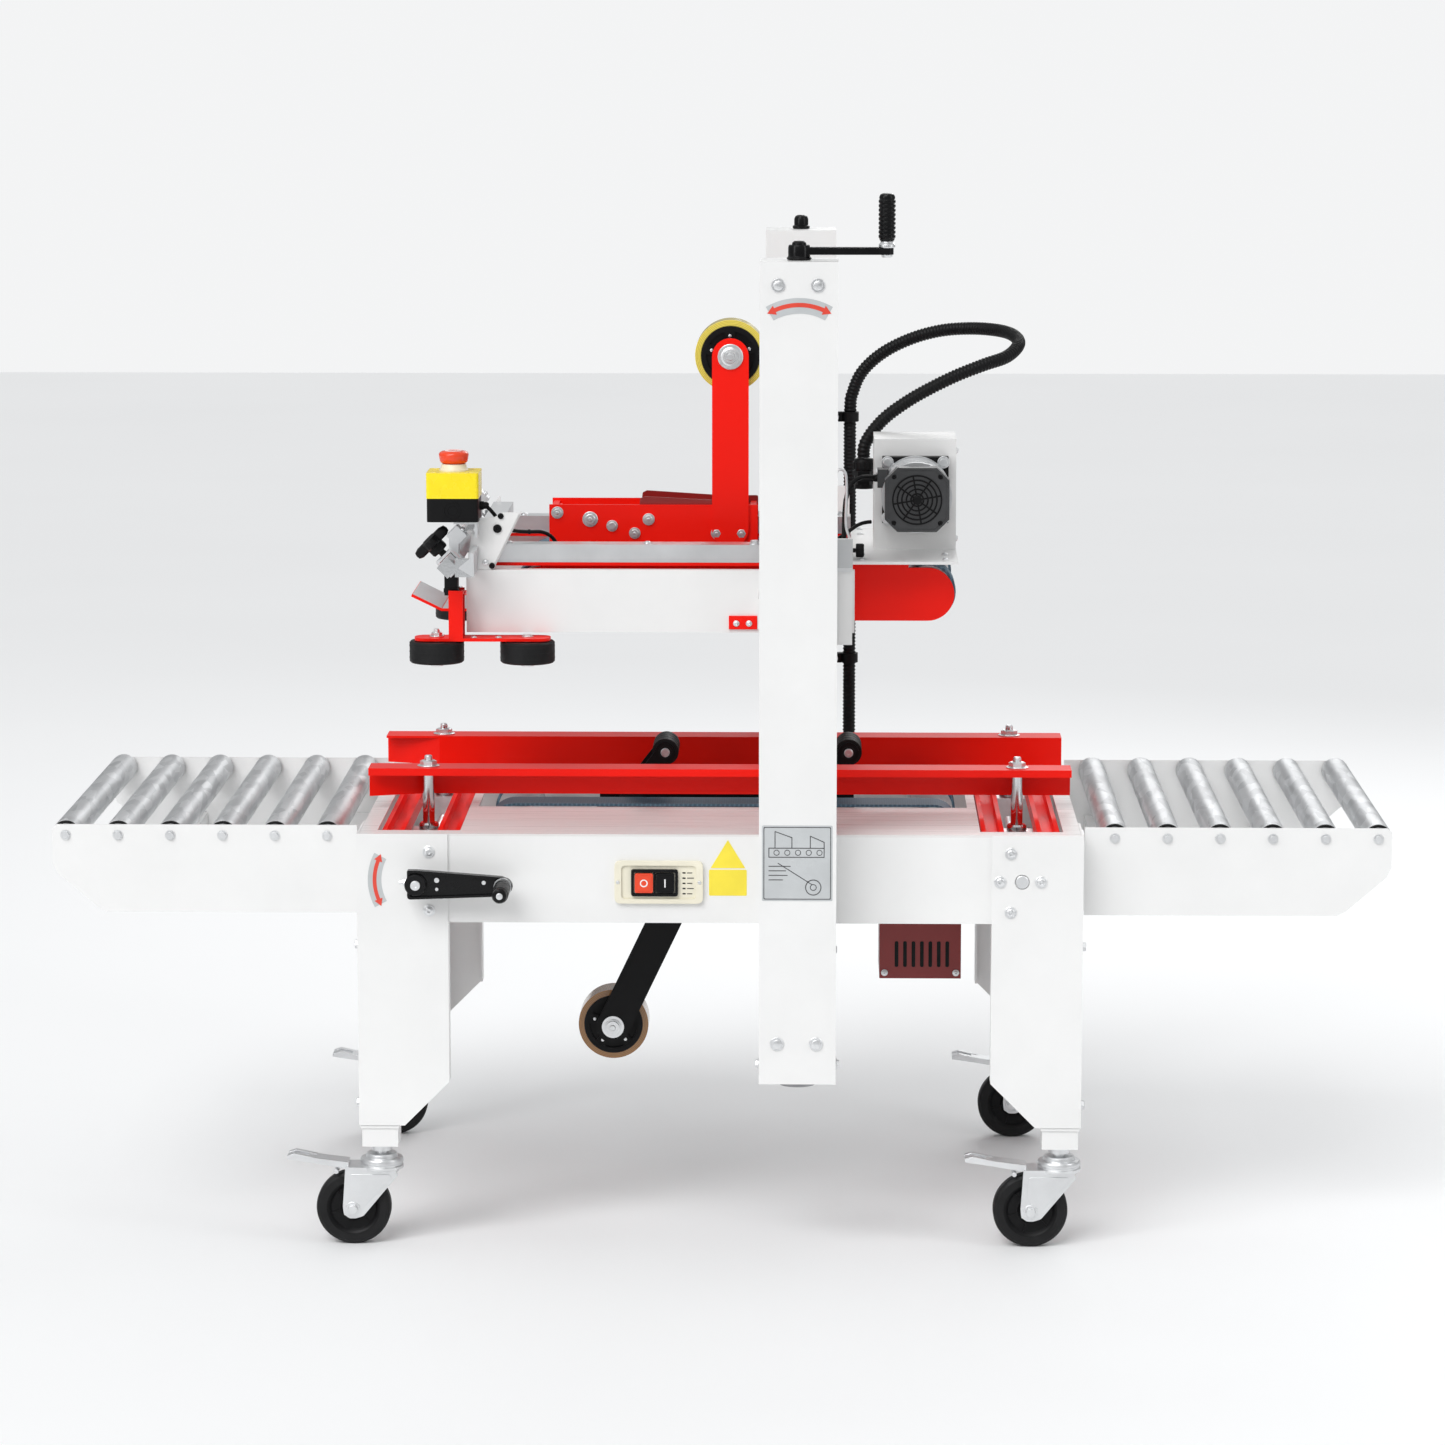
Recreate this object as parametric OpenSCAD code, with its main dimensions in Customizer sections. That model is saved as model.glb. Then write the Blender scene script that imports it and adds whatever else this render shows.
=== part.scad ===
// Semi-automatic carton sealer: top and bottom belt drive, hand-set width and height, two tape cartridges.
// X is the way the cartons travel, Y runs from the front of the machine to its back, Z is up from the floor.
// The origin is on the floor, under the middle of the bed.

/* [Bed] */
// Height of the bed surface above the floor
bed_top_z = 562; // [555:1:570]
// Height of the bed's side panels
bed_h = 119; // [115:1:125]
// Thickness of folded sheet
sheet_t = 3; // [2:0.5:3]

/* [Roller tables] */
// Length of each roller table
table_len = 408; // [405:1:440]
// Radius of a table roller
roller_r = 19; // [15:0.5:20]
// Number of rollers on each table
rollers_per_table = 6; // [6:1:6]

/* [Head] */
// Height of the head above its lowest setting
head_lift = 0; // [0:1:10]
// Radius of the belt around its pulleys
belt_turn_r = 39; // [36:1:39]

/* [Casters] */
// Radius of a caster wheel
wheel_r = 50; // [47:1:50]
// Offset of the wheel's axle behind the swivel
wheel_trail = 38; // [36:1:40]

/* [Hidden] */
$fn = 48;
fit = 0.05;       // radial clearance of a shaft in its bore
gap = 0.3;        // clearance between pieces that only pass each other

// bed and legs
body_x = 481;     // half length of the body over the legs
body_y = 341;     // half width of the body over the legs
web_y = body_y - sheet_t;
bed_bottom_z = bed_top_z - bed_h;
plate_z = bed_top_z - sheet_t;
flange = 25;
leg_bottom_z = 167;
leg_w = 121;
leg_chamfer = 60;
tube_w = 48;
tube_x = 453.5;   // leg tube and caster swivel axis
tube_y = 313.5;
tube_bottom_z = 137;
tube_len = 300;

// slots across the bed for the side guides
slot_x0 = 345;
slot_x1 = 455;
slot_y = 311;
belt_gap_y = 122; // half width of the opening in the middle of the bed
belt_gap_x = 333;
guide_x = 400;    // posts and cross screws
screw_z = 500;
screw_r = 8;

// columns and head
col_x0 = 53;
col_x1 = 154;
col_x = (col_x0 + col_x1) / 2;
col_y = 426;
col_z0 = 245;
col_z1 = 1322;
lift_y = 384;     // lift screw axis
head_z = head_lift;
belt_z = 862;     // middle of the upper belts
belt_x0 = -245;
belt_x1 = 276;
low_belt_x = 286;
low_belt_r = 36;
low_belt_z = bed_top_z + 3 - low_belt_r;

// tape cartridges
arm_plate_y = 36;
frame_plate_y = 41;
reel_axle_r = 12;
tape_r = 48.6;
up_reel = [9, 1171];
low_reel = [-154, 239];
low_reel_arm_top = [-32, 494];
arm_roller_r = 18;
up_arms = [[[-215, 925], [-140, 812]], [[-70, 925], [5, 812]]];
low_arms = [[[-150, 535], [-81, 624]], [[90, 535], [172, 624]]];

// press rollers and their cross bar
bar_x = -360;
bar_z = 911;
bar_half = 10;
press_y = 227;
press_xs = [-380.5, -259];
press_r = 36.5;
press_z0 = 776;
press_plate_z = 806;
press_bolt_h = [12, 7.5];   // the second one passes under the head's cover
estop_x = -357;

// roller tables
table_x0 = 485;
table_x1 = table_x0 + table_len;
table_y = 284;
roller_pitch = 70;
roller_x0 = 525;
roller_z = 549.4;
axle_r = 6;

// cranks
width_crank_x = -guide_x;
crank_r = 113;

// routes of the cables and of the conduit
conduit_r = 9;
conduit_route = [
    [175, 370, 520], [175, 370, 640], [175, 370, 740], [175, 370, 840], [175, 370, 940],
    [175, 370, 1058], [179, 370, 1088], [193, 368, 1118], [222, 362, 1145],
    [262, 352, 1166], [305, 336, 1179], [348, 310, 1184],
    [385, 270, 1184], [405, 225, 1180], [410, 180, 1171], [392, 140, 1157], [358, 115, 1147],
    [315, 100, 1131], [265, 90, 1106], [228, 79, 1082], [208, 70, 1063], [196, 64, 1046],
    [192, 62, 1034], [192, 62, 1022]
];
estop_cable_r = 2.6;
estop_cable_route = [
    [-322, -205, 984], [-314, -205, 982], [-306, -203, 974], [-297, -198, 962],
    [-287, -186, 951], [-275, -170, 945.5], [-260, -155, 943], [-244, -140, 941],
    [-232, -130, 934], [-222, -124, 921], [-206, -121, 911.5], [-150, -120, 910],
    [-100, -120, 910], [20, -120, 910], [110, -118, 912], [152, -98, 926],
    [184, -54, 942], [203, -41, 945]
];
motor_cable_r = 3.2;
motor_cable_route = [
    [219, -110, 1012], [205, -112, 1013], [188, -118, 1014], [174, -126, 1006],
    [166, -140, 985], [164, -160, 955], [164, -170, 932]
];

// ---------- helpers ----------

module block(x, y, z) {
    translate([x[0], y[0], z[0]])
        cube([x[1] - x[0], y[1] - y[0], z[1] - z[0]]);
}

module rod_x(r, x, y, z) {
    translate([x[0], y, z])
        rotate([0, 90, 0])
            cylinder(r = r, h = x[1] - x[0]);
}

module rod_y(r, x, y, z) {
    translate([x, y[1], z])
        rotate([90, 0, 0])
            cylinder(r = r, h = y[1] - y[0]);
}

module rod_z(r, x, y, z) {
    translate([x, y, z[0]])
        cylinder(r = r, h = z[1] - z[0]);
}

// extrudes an outline given in X and Z along Y
module along_y(y) {
    translate([0, y[1], 0])
        rotate([90, 0, 0])
            linear_extrude(y[1] - y[0])
                children();
}

// extrudes an outline given in Y and Z along X
module along_x(x) {
    translate([x[0], 0, 0])
        rotate([90, 0, 90])
            linear_extrude(x[1] - x[0])
                children();
}

module front_and_rear() {
    children();
    mirror([0, 1, 0])
        children();
}

module left_and_right() {
    children();
    mirror([1, 0, 0])
        children();
}

module four_corners() {
    front_and_rear()
        left_and_right()
            children();
}

// outline with two straight runs and two half-round ends, from the origin along its first axis
module link_outline(len, r) {
    translate([0, -r])
        square([len, 2 * r]);
    circle(r);
    translate([len, 0])
        circle(r);
}

module link_ring(len, r_out, r_in) {
    difference() {
        link_outline(len, r_out);
        link_outline(len, r_in);
    }
}

// extrudes along Y an outline that is drawn from point p towards point q of the X and Z plane
module link_along_y(p, q, y) {
    d = q - p;
    translate([p[0], y[1], p[1]])
        rotate([0, -atan2(d[1], d[0]), 0])
            rotate([90, 0, 0])
                linear_extrude(y[1] - y[0])
                    children();
}

function unit(v) = v / norm(v);

function spline_point(a, b, c, d, t) =
    0.5 * (2 * b + (c - a) * t + (2 * a - 5 * b + 4 * c - d) * t * t + (3 * b - a - 3 * c + d) * t * t * t);

function smooth_route(p, steps) =
    let (last = len(p) - 1)
    concat(
        [for (i = [0 : last - 1], k = [0 : steps - 1])
            spline_point(p[max(i - 1, 0)], p[i], p[i + 1], p[min(i + 2, last)], k / steps)],
        [p[last]]
    );

function route_tangents(p) =
    [for (i = [0 : len(p) - 1]) unit(p[min(i + 1, len(p) - 1)] - p[max(i - 1, 0)])];

function across(n, t) = unit(n - t * (n * t));

// normals carried along the route without twist
function route_normals(t, start) =
    [for (i = 0, n = across(start, t[0]); i < len(t); i = i + 1, n = across(n, t[min(i, len(t) - 1)])) n];

// round tube swept along a route, closed at both ends
module swept_tube(route, r, sides, steps) {
    path = smooth_route(route, steps);
    tang = route_tangents(path);
    norms = route_normals(tang, [0.3, 0.2, 1]);
    rings = len(path);
    points = [for (i = [0 : rings - 1], s = [0 : sides - 1])
        let (a = 360 * s / sides, b = cross(tang[i], norms[i]))
        path[i] + r * (cos(a) * norms[i] + sin(a) * b)];
    walls = [for (i = [0 : rings - 2], s = [0 : sides - 1])
        let (n = (s + 1) % sides)
        [i * sides + s, (i + 1) * sides + s, (i + 1) * sides + n, i * sides + n]];
    first_cap = [for (s = [0 : sides - 1]) s];
    last_cap = [for (s = [0 : sides - 1]) rings * sides - 1 - s];
    polyhedron(points = points, faces = concat([first_cap], walls, [last_cap]));
}

// ---------- bed ----------

module side_channel() {
    x = body_x - sheet_t - 3.6;
    difference() {
        union() {
            block([-x, x], [-web_y, -web_y + sheet_t], [bed_bottom_z, plate_z]);
            block([-x, x], [-web_y, -web_y + flange], [bed_bottom_z, bed_bottom_z + sheet_t]);
            block([-x, x], [-web_y, -web_y + flange], [plate_z - sheet_t, plate_z]);
            for (s = [-1, 1])
                block([s * guide_x - 20, s * guide_x + 20], [-web_y, -web_y + 20], [screw_z - 20, screw_z + 20]);
        }
        for (s = [-1, 1])
            rod_y(screw_r + fit, s * guide_x, [-web_y - 1, -web_y + 21], screw_z);
    }
}

module end_channel() {
    x1 = body_x - sheet_t - gap;
    y = web_y - gap;
    block([x1 - sheet_t, x1], [-y, y], [bed_bottom_z, plate_z]);
    block([x1 - 20, x1], [-web_y + flange + gap, web_y - flange - gap], [plate_z - sheet_t, plate_z]);
}

module cross_beam(x) {
    y = web_y - sheet_t - gap;
    block([x, x + 40], [-y, y], [bed_bottom_z + sheet_t + gap, bed_bottom_z + 27]);
}

// box on the rear panel that the head's conduit rises from
module junction_box() {
    block([158, 196], [web_y, web_y + 52], [470, 514]);
    rod_z(13, 175, 370, [514, 520]);
}

module bed_frame() {
    color("white") {
        front_and_rear()
            side_channel();
        left_and_right()
            end_channel();
        cross_beam(-260);
        cross_beam(183);
        mains_gland();
        junction_box();
    }
}

// threaded sleeve on the rear panel where a supply lead enters
module mains_gland() {
    difference() {
        union() {
            rod_y(14, -250, [web_y, web_y + 5], 480);
            rod_y(11, -250, [web_y, web_y + 16], 480);
        }
        rod_y(7, -250, [web_y - 1, web_y + 17], 480);
    }
}

// one half of the bed plate, with a slot for each side-guide post
module bed_half() {
    x = body_x - sheet_t - gap;
    difference() {
        block([-x, x], [-web_y, -belt_gap_y - gap], [plate_z, bed_top_z]);
        left_and_right()
            block([slot_x0, slot_x1], [-slot_y, 0], [plate_z - 1, bed_top_z + 1]);
    }
}

module bed_top() {
    x = body_x - sheet_t - gap;
    color("white") {
        front_and_rear()
            bed_half();
        left_and_right() {
            block([slot_x1, x], [-belt_gap_y, belt_gap_y], [plate_z, bed_top_z]);
            block([belt_gap_x, slot_x0], [-belt_gap_y, belt_gap_y], [plate_z, bed_top_z]);
        }
    }
}

module outer_leg() {
    x0 = body_x - leg_w;
    x1 = body_x;
    ring = 10;
    along_y([-body_y, -web_y])
        difference() {
            polygon([[x0, bed_top_z], [x1, bed_top_z], [x1, leg_bottom_z],
                     [x0 + leg_chamfer, leg_bottom_z], [x0, leg_bottom_z + leg_chamfer]]);
            translate([guide_x, screw_z])
                circle(screw_r + 2);
        }
    along_x([x1 - sheet_t, x1])
        polygon([[-body_y, bed_top_z], [-body_y + 100, bed_top_z], [-body_y + 100, leg_bottom_z + leg_chamfer],
                 [-body_y + 60, leg_bottom_z], [-body_y, leg_bottom_z]]);
    block([x0, x0 + sheet_t], [-body_y, -web_y + flange], [leg_bottom_z + leg_chamfer, bed_bottom_z - gap]);
    for (z = [leg_bottom_z + 18, leg_bottom_z + 233])
        difference() {
            block([tube_x - 24.5 - ring, x1], [-web_y, -tube_y + 24.5 + ring], [z, z + 15]);
            block([tube_x - 24.5, x1 - sheet_t], [-web_y - 1, -tube_y + 24.5], [z - 1, z + 16]);
        }
}

module outer_legs() {
    color("white")
        four_corners()
            outer_leg();
}

module leg_tube() {
    h = tube_w / 2;
    x = [tube_x - h, tube_x + h];
    y = [-tube_y - h, -tube_y + h];
    difference() {
        block(x, y, [tube_bottom_z, tube_bottom_z + tube_len]);
        block([x[0] + 2.5, x[1] - 2.5], [y[0] + 2.5, y[1] - 2.5],
              [tube_bottom_z + 6, tube_bottom_z + tube_len + 1]);
    }
    rod_z(14, tube_x, -tube_y, [tube_bottom_z - 9, tube_bottom_z]);
    rod_z(screw_r, tube_x, -tube_y, [104, tube_bottom_z]);
    rod_z(12, tube_x, -tube_y, [97, 104]);
}

module leg_tubes() {
    color("white")
        four_corners()
            leg_tube();
}

// ---------- casters ----------

// swivelling fork with its axle and brake pedal, for a stem at the origin of X and Y
module caster_fork_shape() {
    crown_z = 104 + fit;
    wheel_side = 16;
    color("silver") {
        difference() {
            union() {
                rod_z(27, 0, 0, [crown_z, 118]);
                rod_z(20, 0, 0, [118, 124]);
                block([-48, 22], [-22, 22], [crown_z, crown_z + 3.5]);
            }
            rod_z(screw_r + fit, 0, 0, [100, 130]);
        }
        front_and_rear()
            along_y([-wheel_side - 3, -wheel_side])
                polygon([[20, crown_z + 1], [22, 96], [-26, 40], [-34, 37.5], [-42, 37.5], [-50, 42],
                         [-51, 52], [-48, crown_z + 1]]);
        rod_y(5, -wheel_trail, [-wheel_side - 6, wheel_side + 6], wheel_r);
        difference() {
            along_y([-15, 15])
                polygon([[-44, 108], [-44, 113], [-92, 119], [-116, 124], [-126, 121], [-126, 117],
                         [-92, 112], [-48, 104.5]]);
            block([-118, -98], [-6, 6], [100, 130]);
        }
    }
}

module caster_fork(sx, sy) {
    translate([sx * tube_x, sy * tube_y, 0])
        caster_fork_shape();
}

module front_left_caster_fork() { caster_fork(-1, -1); }
module front_right_caster_fork() { caster_fork(1, -1); }
module rear_left_caster_fork() { caster_fork(-1, 1); }
module rear_right_caster_fork() { caster_fork(1, 1); }

module wheel(sx, sy) {
    r = wheel_r;
    color("#202020")
        translate([sx * tube_x - wheel_trail, sy * tube_y, r])
            rotate([90, 0, 0])
                rotate_extrude($fn = 96)
                    polygon([[5 + fit, -15], [14, -15], [15, -9], [32, -9], [35, -13], [r - 5, -13],
                             [r - 1.5, -10.5], [r, -7], [r, 7], [r - 1.5, 10.5], [r - 5, 13], [35, 13],
                             [32, 9], [15, 9], [14, 15], [5 + fit, 15]]);
}

module front_left_wheel() { wheel(-1, -1); }
module front_right_wheel() { wheel(1, -1); }
module rear_left_wheel() { wheel(-1, 1); }
module rear_right_wheel() { wheel(1, 1); }

// ---------- roller tables ----------

module table_plate_outline() {
    bottom = bed_bottom_z + 2;
    corner = 20;
    polygon([[table_x0, bottom], [table_x0, bed_top_z + 1.5], [table_x1 - 6, bed_top_z + 1.5],
             [table_x1, bed_top_z - 4], [table_x1, bottom + 66], [table_x1 - corner / 3, bottom + 52],
             [table_x1 - 60, bottom + 6], [table_x1 - 72, bottom]]);
}

module half_table() {
    along_y([-table_y, -table_y + sheet_t])
        table_plate_outline();
    block([body_x + gap, table_x0 - gap], [-table_y + 3, -table_y + 40], [bed_bottom_z + 8, bed_top_z - 8]);
}

module table_frame() {
    y = table_y - sheet_t - gap;
    front_and_rear()
        half_table();
    for (i = [0 : rollers_per_table - 1])
        rod_y(axle_r, roller_x0 + roller_pitch * i, [-y, y], roller_z);
    for (x = [table_x0 + 30, table_x0 + 270])
        block([x, x + 30], [-y, y], [bed_bottom_z + 10, bed_bottom_z + 40]);
}

module table_frames() {
    color("white")
        left_and_right()
            table_frame();
}

module table_roller(side, i) {
    y = table_y - sheet_t - 2;
    color("silver")
        translate([side * (roller_x0 + roller_pitch * (i - 1)), 0, roller_z])
            rotate([90, 0, 0])
                rotate_extrude()
                    polygon([[axle_r + fit, -y], [roller_r - 1.5, -y], [roller_r, -y + 1.5],
                             [roller_r, y - 1.5], [roller_r - 1.5, y], [axle_r + fit, y]]);
}

module infeed_roller_1() { table_roller(-1, 1); }
module infeed_roller_2() { table_roller(-1, 2); }
module infeed_roller_3() { table_roller(-1, 3); }
module infeed_roller_4() { table_roller(-1, 4); }
module infeed_roller_5() { table_roller(-1, 5); }
module infeed_roller_6() { table_roller(-1, 6); }
module outfeed_roller_1() { table_roller(1, 1); }
module outfeed_roller_2() { table_roller(1, 2); }
module outfeed_roller_3() { table_roller(1, 3); }
module outfeed_roller_4() { table_roller(1, 4); }
module outfeed_roller_5() { table_roller(1, 5); }
module outfeed_roller_6() { table_roller(1, 6); }

// ---------- columns and fasteners ----------

module column() {
    wall = sheet_t;
    slot = 23;    // depth of each lip beside the slot
    lip_y = -body_y + sheet_t;
    bearing = 20;
    difference() {
        block([col_x0, col_x1], [-col_y, lip_y], [col_z0, col_z1]);
        block([col_x0 + wall, col_x1 - wall], [-col_y + wall, lip_y - wall], [col_z0 + wall, col_z1 - wall]);
        block([col_x0 + slot, col_x1 - slot], [lip_y - wall - 1, lip_y + 1], [col_z0 + 50, col_z1 - 40]);
        rod_z(screw_r + fit, col_x, -lift_y, [col_z0 - 1, col_z1 + 1]);
    }
    for (z = [col_z0 + 17, col_z1 - wall - 22])
        difference() {
            block([col_x - bearing, col_x + bearing], [-col_y + wall, -lift_y + bearing], [z, z + 22]);
            rod_z(screw_r + fit, col_x, -lift_y, [z - 1, z + 23]);
        }
}

module columns() {
    color("white")
        front_and_rear()
            column();
}

module hex_head(x, y, z, r = 6) {
    translate([x, y, z])
        rotate([90, 0, 0])
            cylinder(r = r, h = 4, $fn = 6);
}

module frame_bolts() {
    color("lightgray")
        front_and_rear() {
            for (x = [-385, 385], z = [459, 538])
                hex_head(x, -body_y, z);
            for (x = [371, 425])
                hex_head(x, -body_y, screw_z);
            for (x = [77, 128], z = [299, 1292])
                hex_head(x, -col_y, z);
            for (side = [-1, 1], i = [0 : rollers_per_table - 1])
                hex_head(side * (roller_x0 + roller_pitch * i), -table_y, roller_z, 7);
            for (x = [col_x0 - 5, col_x1])
                rod_x(6, [x, x + 5], -lift_y, 263);
        }
}

// ---------- width adjustment ----------

module guide_track(x0, x1) {
    z0 = plate_z - sheet_t - 19;
    y = web_y - sheet_t - gap;
    difference() {
        block([x0, x1], [-y, y], [z0, plate_z - sheet_t]);
        block([x0 + 6, x1 - 6], [-slot_y + 4, slot_y - 4], [z0 + 4, plate_z]);
    }
}

module guide_tracks() {
    color("red")
        left_and_right() {
            guide_track(348, 378);
            guide_track(422, 452);
        }
}

// side guide with its two posts and screw nuts
module guide_rail() {
    rail_x = [-480, 473];
    in_y = -120;
    post_y = -142;
    lead_in = 75;
    color("red") {
        block([rail_x[0] + lead_in, rail_x[1]], [in_y - sheet_t, in_y], [580, 621]);
        translate([0, 0, 580])
            linear_extrude(41)
                polygon([[rail_x[0] + lead_in, in_y], [rail_x[0], in_y - 25], [rail_x[0], in_y - 25 - sheet_t],
                         [rail_x[0] + lead_in, in_y - sheet_t]]);
        block(rail_x, [in_y - 45, in_y], [618, 621]);
        block(rail_x, [in_y - 45, in_y - 43], [611, 621]);
    }
    color("silver")
        left_and_right() {
            rod_z(8, guide_x, post_y, [screw_z, 618]);
            rod_z(9, guide_x, post_y, [621, 626]);
            rod_z(5.5, guide_x, post_y, [621, 632]);
            block([guide_x - 17, guide_x + 17], [post_y - 15, post_y + 15], [screw_z - 17, 527]);
            block([guide_x - 46, guide_x + 46], [post_y - 20, post_y + 20], [526, 534]);
        }
}

module guide_rail_bored() {
    difference() {
        guide_rail();
        left_and_right()
            rod_y(screw_r + fit, guide_x, [-170, -110], screw_z);
    }
}

module front_guide_rail() { guide_rail_bored(); }

module rear_guide_rail() {
    mirror([0, 1, 0])
        guide_rail_bored();
}

module width_screw(x, y0) {
    rod_y(screw_r, x, [y0, web_y + 4], screw_z);
    rod_y(22, x, [310, 316], screw_z);
}

module width_crank() {
    x = width_crank_x;
    arm_y = [-378, -366];
    tip = [x + crank_r + 2, screw_z - 2];
    color("silver") {
        width_screw(x, -384);
        rod_y(13, x, [-366, -345], screw_z);
    }
    color("#202020") {
        along_y(arm_y) {
            translate([x, screw_z])
                circle(20);
            translate(tip)
                circle(13);
            polygon([[x + 1, screw_z + 20], [tip[0] + 1, tip[1] + 13],
                     [tip[0] + 1, tip[1] - 13], [x + 1, screw_z - 20]]);
        }
        rod_y(11, tip[0], [-446, -382], tip[1]);
        rod_y(6, tip[0], [-384, -366], tip[1]);
    }
}

module right_width_screw() {
    color("silver")
        width_screw(guide_x, -web_y - 4);
}

// ---------- height adjustment ----------

module lift_screw() {
    color("silver") {
        rod_z(screw_r, col_x, 0, [col_z0 - 12, col_z1 + 6]);
        rod_z(20, col_x, 0, [col_z0 - 10, col_z0 - 2]);
    }
}

module lift_crank() {
    grip = [col_x + crank_r, -lift_y];
    arm_z = [col_z1 + 6, col_z1 + 16];
    translate([0, -lift_y, 0])
        lift_screw();
    color("#202020") {
        rod_z(14, col_x, -lift_y, [col_z1 + 1, col_z1 + 17]);
        translate([col_x, -lift_y, arm_z[0]])
            linear_extrude(arm_z[1] - arm_z[0])
                link_outline(crank_r, 9);
        rod_z(11, grip[0], grip[1], [1344, 1408]);
    }
    color("silver")
        rod_z(8, grip[0], grip[1], [col_z1 + 14, 1344]);
}

module rear_lift_screw() {
    translate([0, lift_y, 0])
        lift_screw();
    color("#202020")
        rod_z(10, col_x, lift_y, [col_z1 + 1, col_z1 + 20]);
}

// ---------- drives ----------

module belt_loop(x0, x1, z, r, y) {
    link_along_y([x0, z], [x1, z], y)
        link_ring(x1 - x0, r, r - 3.5);
}

// closed chain round two sprockets, lying in an X and Z plane
module chain_loop(p, q, r, y) {
    link_along_y(p, q, y)
        link_ring(norm(q - p), r + 4, r);
}

module belt_pulleys(x0, x1, z, r, y, shaft_y) {
    for (x = [x0, x1]) {
        front_and_rear()
            rod_y(r - 3.8, x, y, z);
        rod_y(10, x, [-shaft_y, shaft_y], z);
    }
}

module lower_belts() {
    color("#5f7f95")
        front_and_rear()
            belt_loop(-low_belt_x, low_belt_x, low_belt_z, low_belt_r, [-115, -60]);
}

module under_bed_drives() {
    color("#8b1a14")
        block([215, 327], [-100, -96], [320, 439]);
    color("#8b1a14")
        block([215, 327], [-96, 20], [320, 323]);
    color("#8b1a14")
        block([215, 218], [-96, 20], [323, 439]);
    color("#8b1a14")
        block([324, 327], [-96, 20], [323, 439]);
    color("#404040") {
        rod_y(43, 270, [-80, 110], 375);
        rod_y(47, 270, [24, 60], 375);
        block([225, 315], [110, 170], [330, 438]);
    }
    color("silver")
        belt_pulleys(-low_belt_x, low_belt_x, low_belt_z, low_belt_r, [-113, -62], 186);
    color("#404040") {
        chain_loop([270, 400], [low_belt_x, low_belt_z], 24, [176, 182]);
        translate([col_x, -lift_y, col_z0 - 8])
            rotate([0, 0, 90])
                linear_extrude(4)
                    link_ring(2 * lift_y, 24 + gap, 20 + gap);
        chain_loop([-guide_x, screw_z], [guide_x, screw_z], 22 + gap, [311, 315]);
    }
}

// ---------- lower tape cartridge ----------

module cartridge_plate(outline_x, outline_z) {
    front_and_rear()
        block(outline_x, [-frame_plate_y - 4, -frame_plate_y], outline_z);
}

module lower_cartridge_frame() {
    y = frame_plate_y + 4;
    color("#252525") {
        cartridge_plate([-175, 180], [488, 556]);
        for (p = [[-165, 500], [-30, 496], [60, 496], [165, 500]])
            rod_y(6, p[0], [-y - 4, y + 4], p[1]);
        for (a = low_arms)
            rod_y(7, a[0][0], [-y, y], a[0][1]);
        for (x = [-171, 168])
            front_and_rear()
                block([x, x + 8], [-58, -y], [540, 558.5]);
        link_along_y(low_reel, low_reel_arm_top, [-y - 4, -y])
            link_outline(norm(low_reel_arm_top - low_reel), 23);
    }
    color("silver") {
        rod_y(reel_axle_r, low_reel[0], [-y, 24], low_reel[1]);
        rod_y(18, low_reel[0], [24, 27], low_reel[1]);
        rod_y(9, low_reel[0], [-y - 12, -y], low_reel[1]);
    }
}

module tape_roll(c, y) {
    r = tape_r;
    color("gold")
        translate([c[0], y, c[1]])
            rotate([90, 0, 0])
                rotate_extrude($fn = 96)
                    polygon([[reel_axle_r + fit, -26], [38, -26], [38, -24], [r, -24], [r, 24],
                             [38, 24], [38, 26], [reel_axle_r + fit, 26]]);
}

module lower_tape_roll() { tape_roll(low_reel, -6); }
module upper_tape_roll() { tape_roll(up_reel, -6); }

// tape arm with its pressing roller, swinging about the first of its two points
module cartridge_arm(points) {
    pivot = points[0];
    tip = points[1];
    y = arm_plate_y;
    len = norm(tip - pivot);
    color("#252525") {
        front_and_rear()
            link_along_y(pivot, tip, [-y - 3, -y])
                difference() {
                    union() {
                        link_outline(len, 12);
                        translate([len, 0])
                            circle(14);
                    }
                    circle(7 + fit);
                }
        rod_y(arm_roller_r, tip[0], [-y + 0.5, y - 0.5], tip[1]);
        rod_y(6, tip[0], [-y - 2, y + 2], tip[1]);
    }
}

module lower_infeed_arm() { cartridge_arm(low_arms[0]); }
module lower_outfeed_arm() { cartridge_arm(low_arms[1]); }
module upper_infeed_arm() { cartridge_arm(up_arms[0]); }
module upper_outfeed_arm() { cartridge_arm(up_arms[1]); }

// ---------- head ----------

// carriage that runs behind a column's slot, with the nut of the lift screw
module carriage() {
    y0 = -body_y + sheet_t;
    difference() {
        union() {
                block([col_x0 + 2, 174], [y0 + 3, y0 + 9], [815, 955]);
            block([col_x - 22, col_x + 22], [-lift_y - 22, y0 + 4], [850, 920]);
        }
        rod_z(screw_r + fit, col_x, -lift_y, [840, 930]);
    }
    for (x = [50, 135])
        block([x, x + 30], [y0 + 9, -218], [835, 875]);
}

module head_frame() {
    color("gainsboro") {
        front_and_rear() {
            carriage();
            block([-332, 174.7], [-190, -155], [906, 930]);
            block([-332, -304], [-212, -190], [906, 930]);
        }
        block([60, 100], [-328.7, 328.7], [930 + gap, 955]);
        block([-332, -304], [-212, 212], [930 + gap, 944]);
    }
    color("silver") {
        translate([bar_x, 0, bar_z])
            rotate([0, 45, 0])
                block([-bar_half, bar_half], [-300, 300], [-bar_half, bar_half]);
        front_and_rear() {
            block([bar_x + 10, -327], [-300, -288], [bar_z - 12, bar_z + 12]);
            block([-331, -325], [-300, -212], [899 + gap, bar_z + 20]);
        }
    }
}

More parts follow.
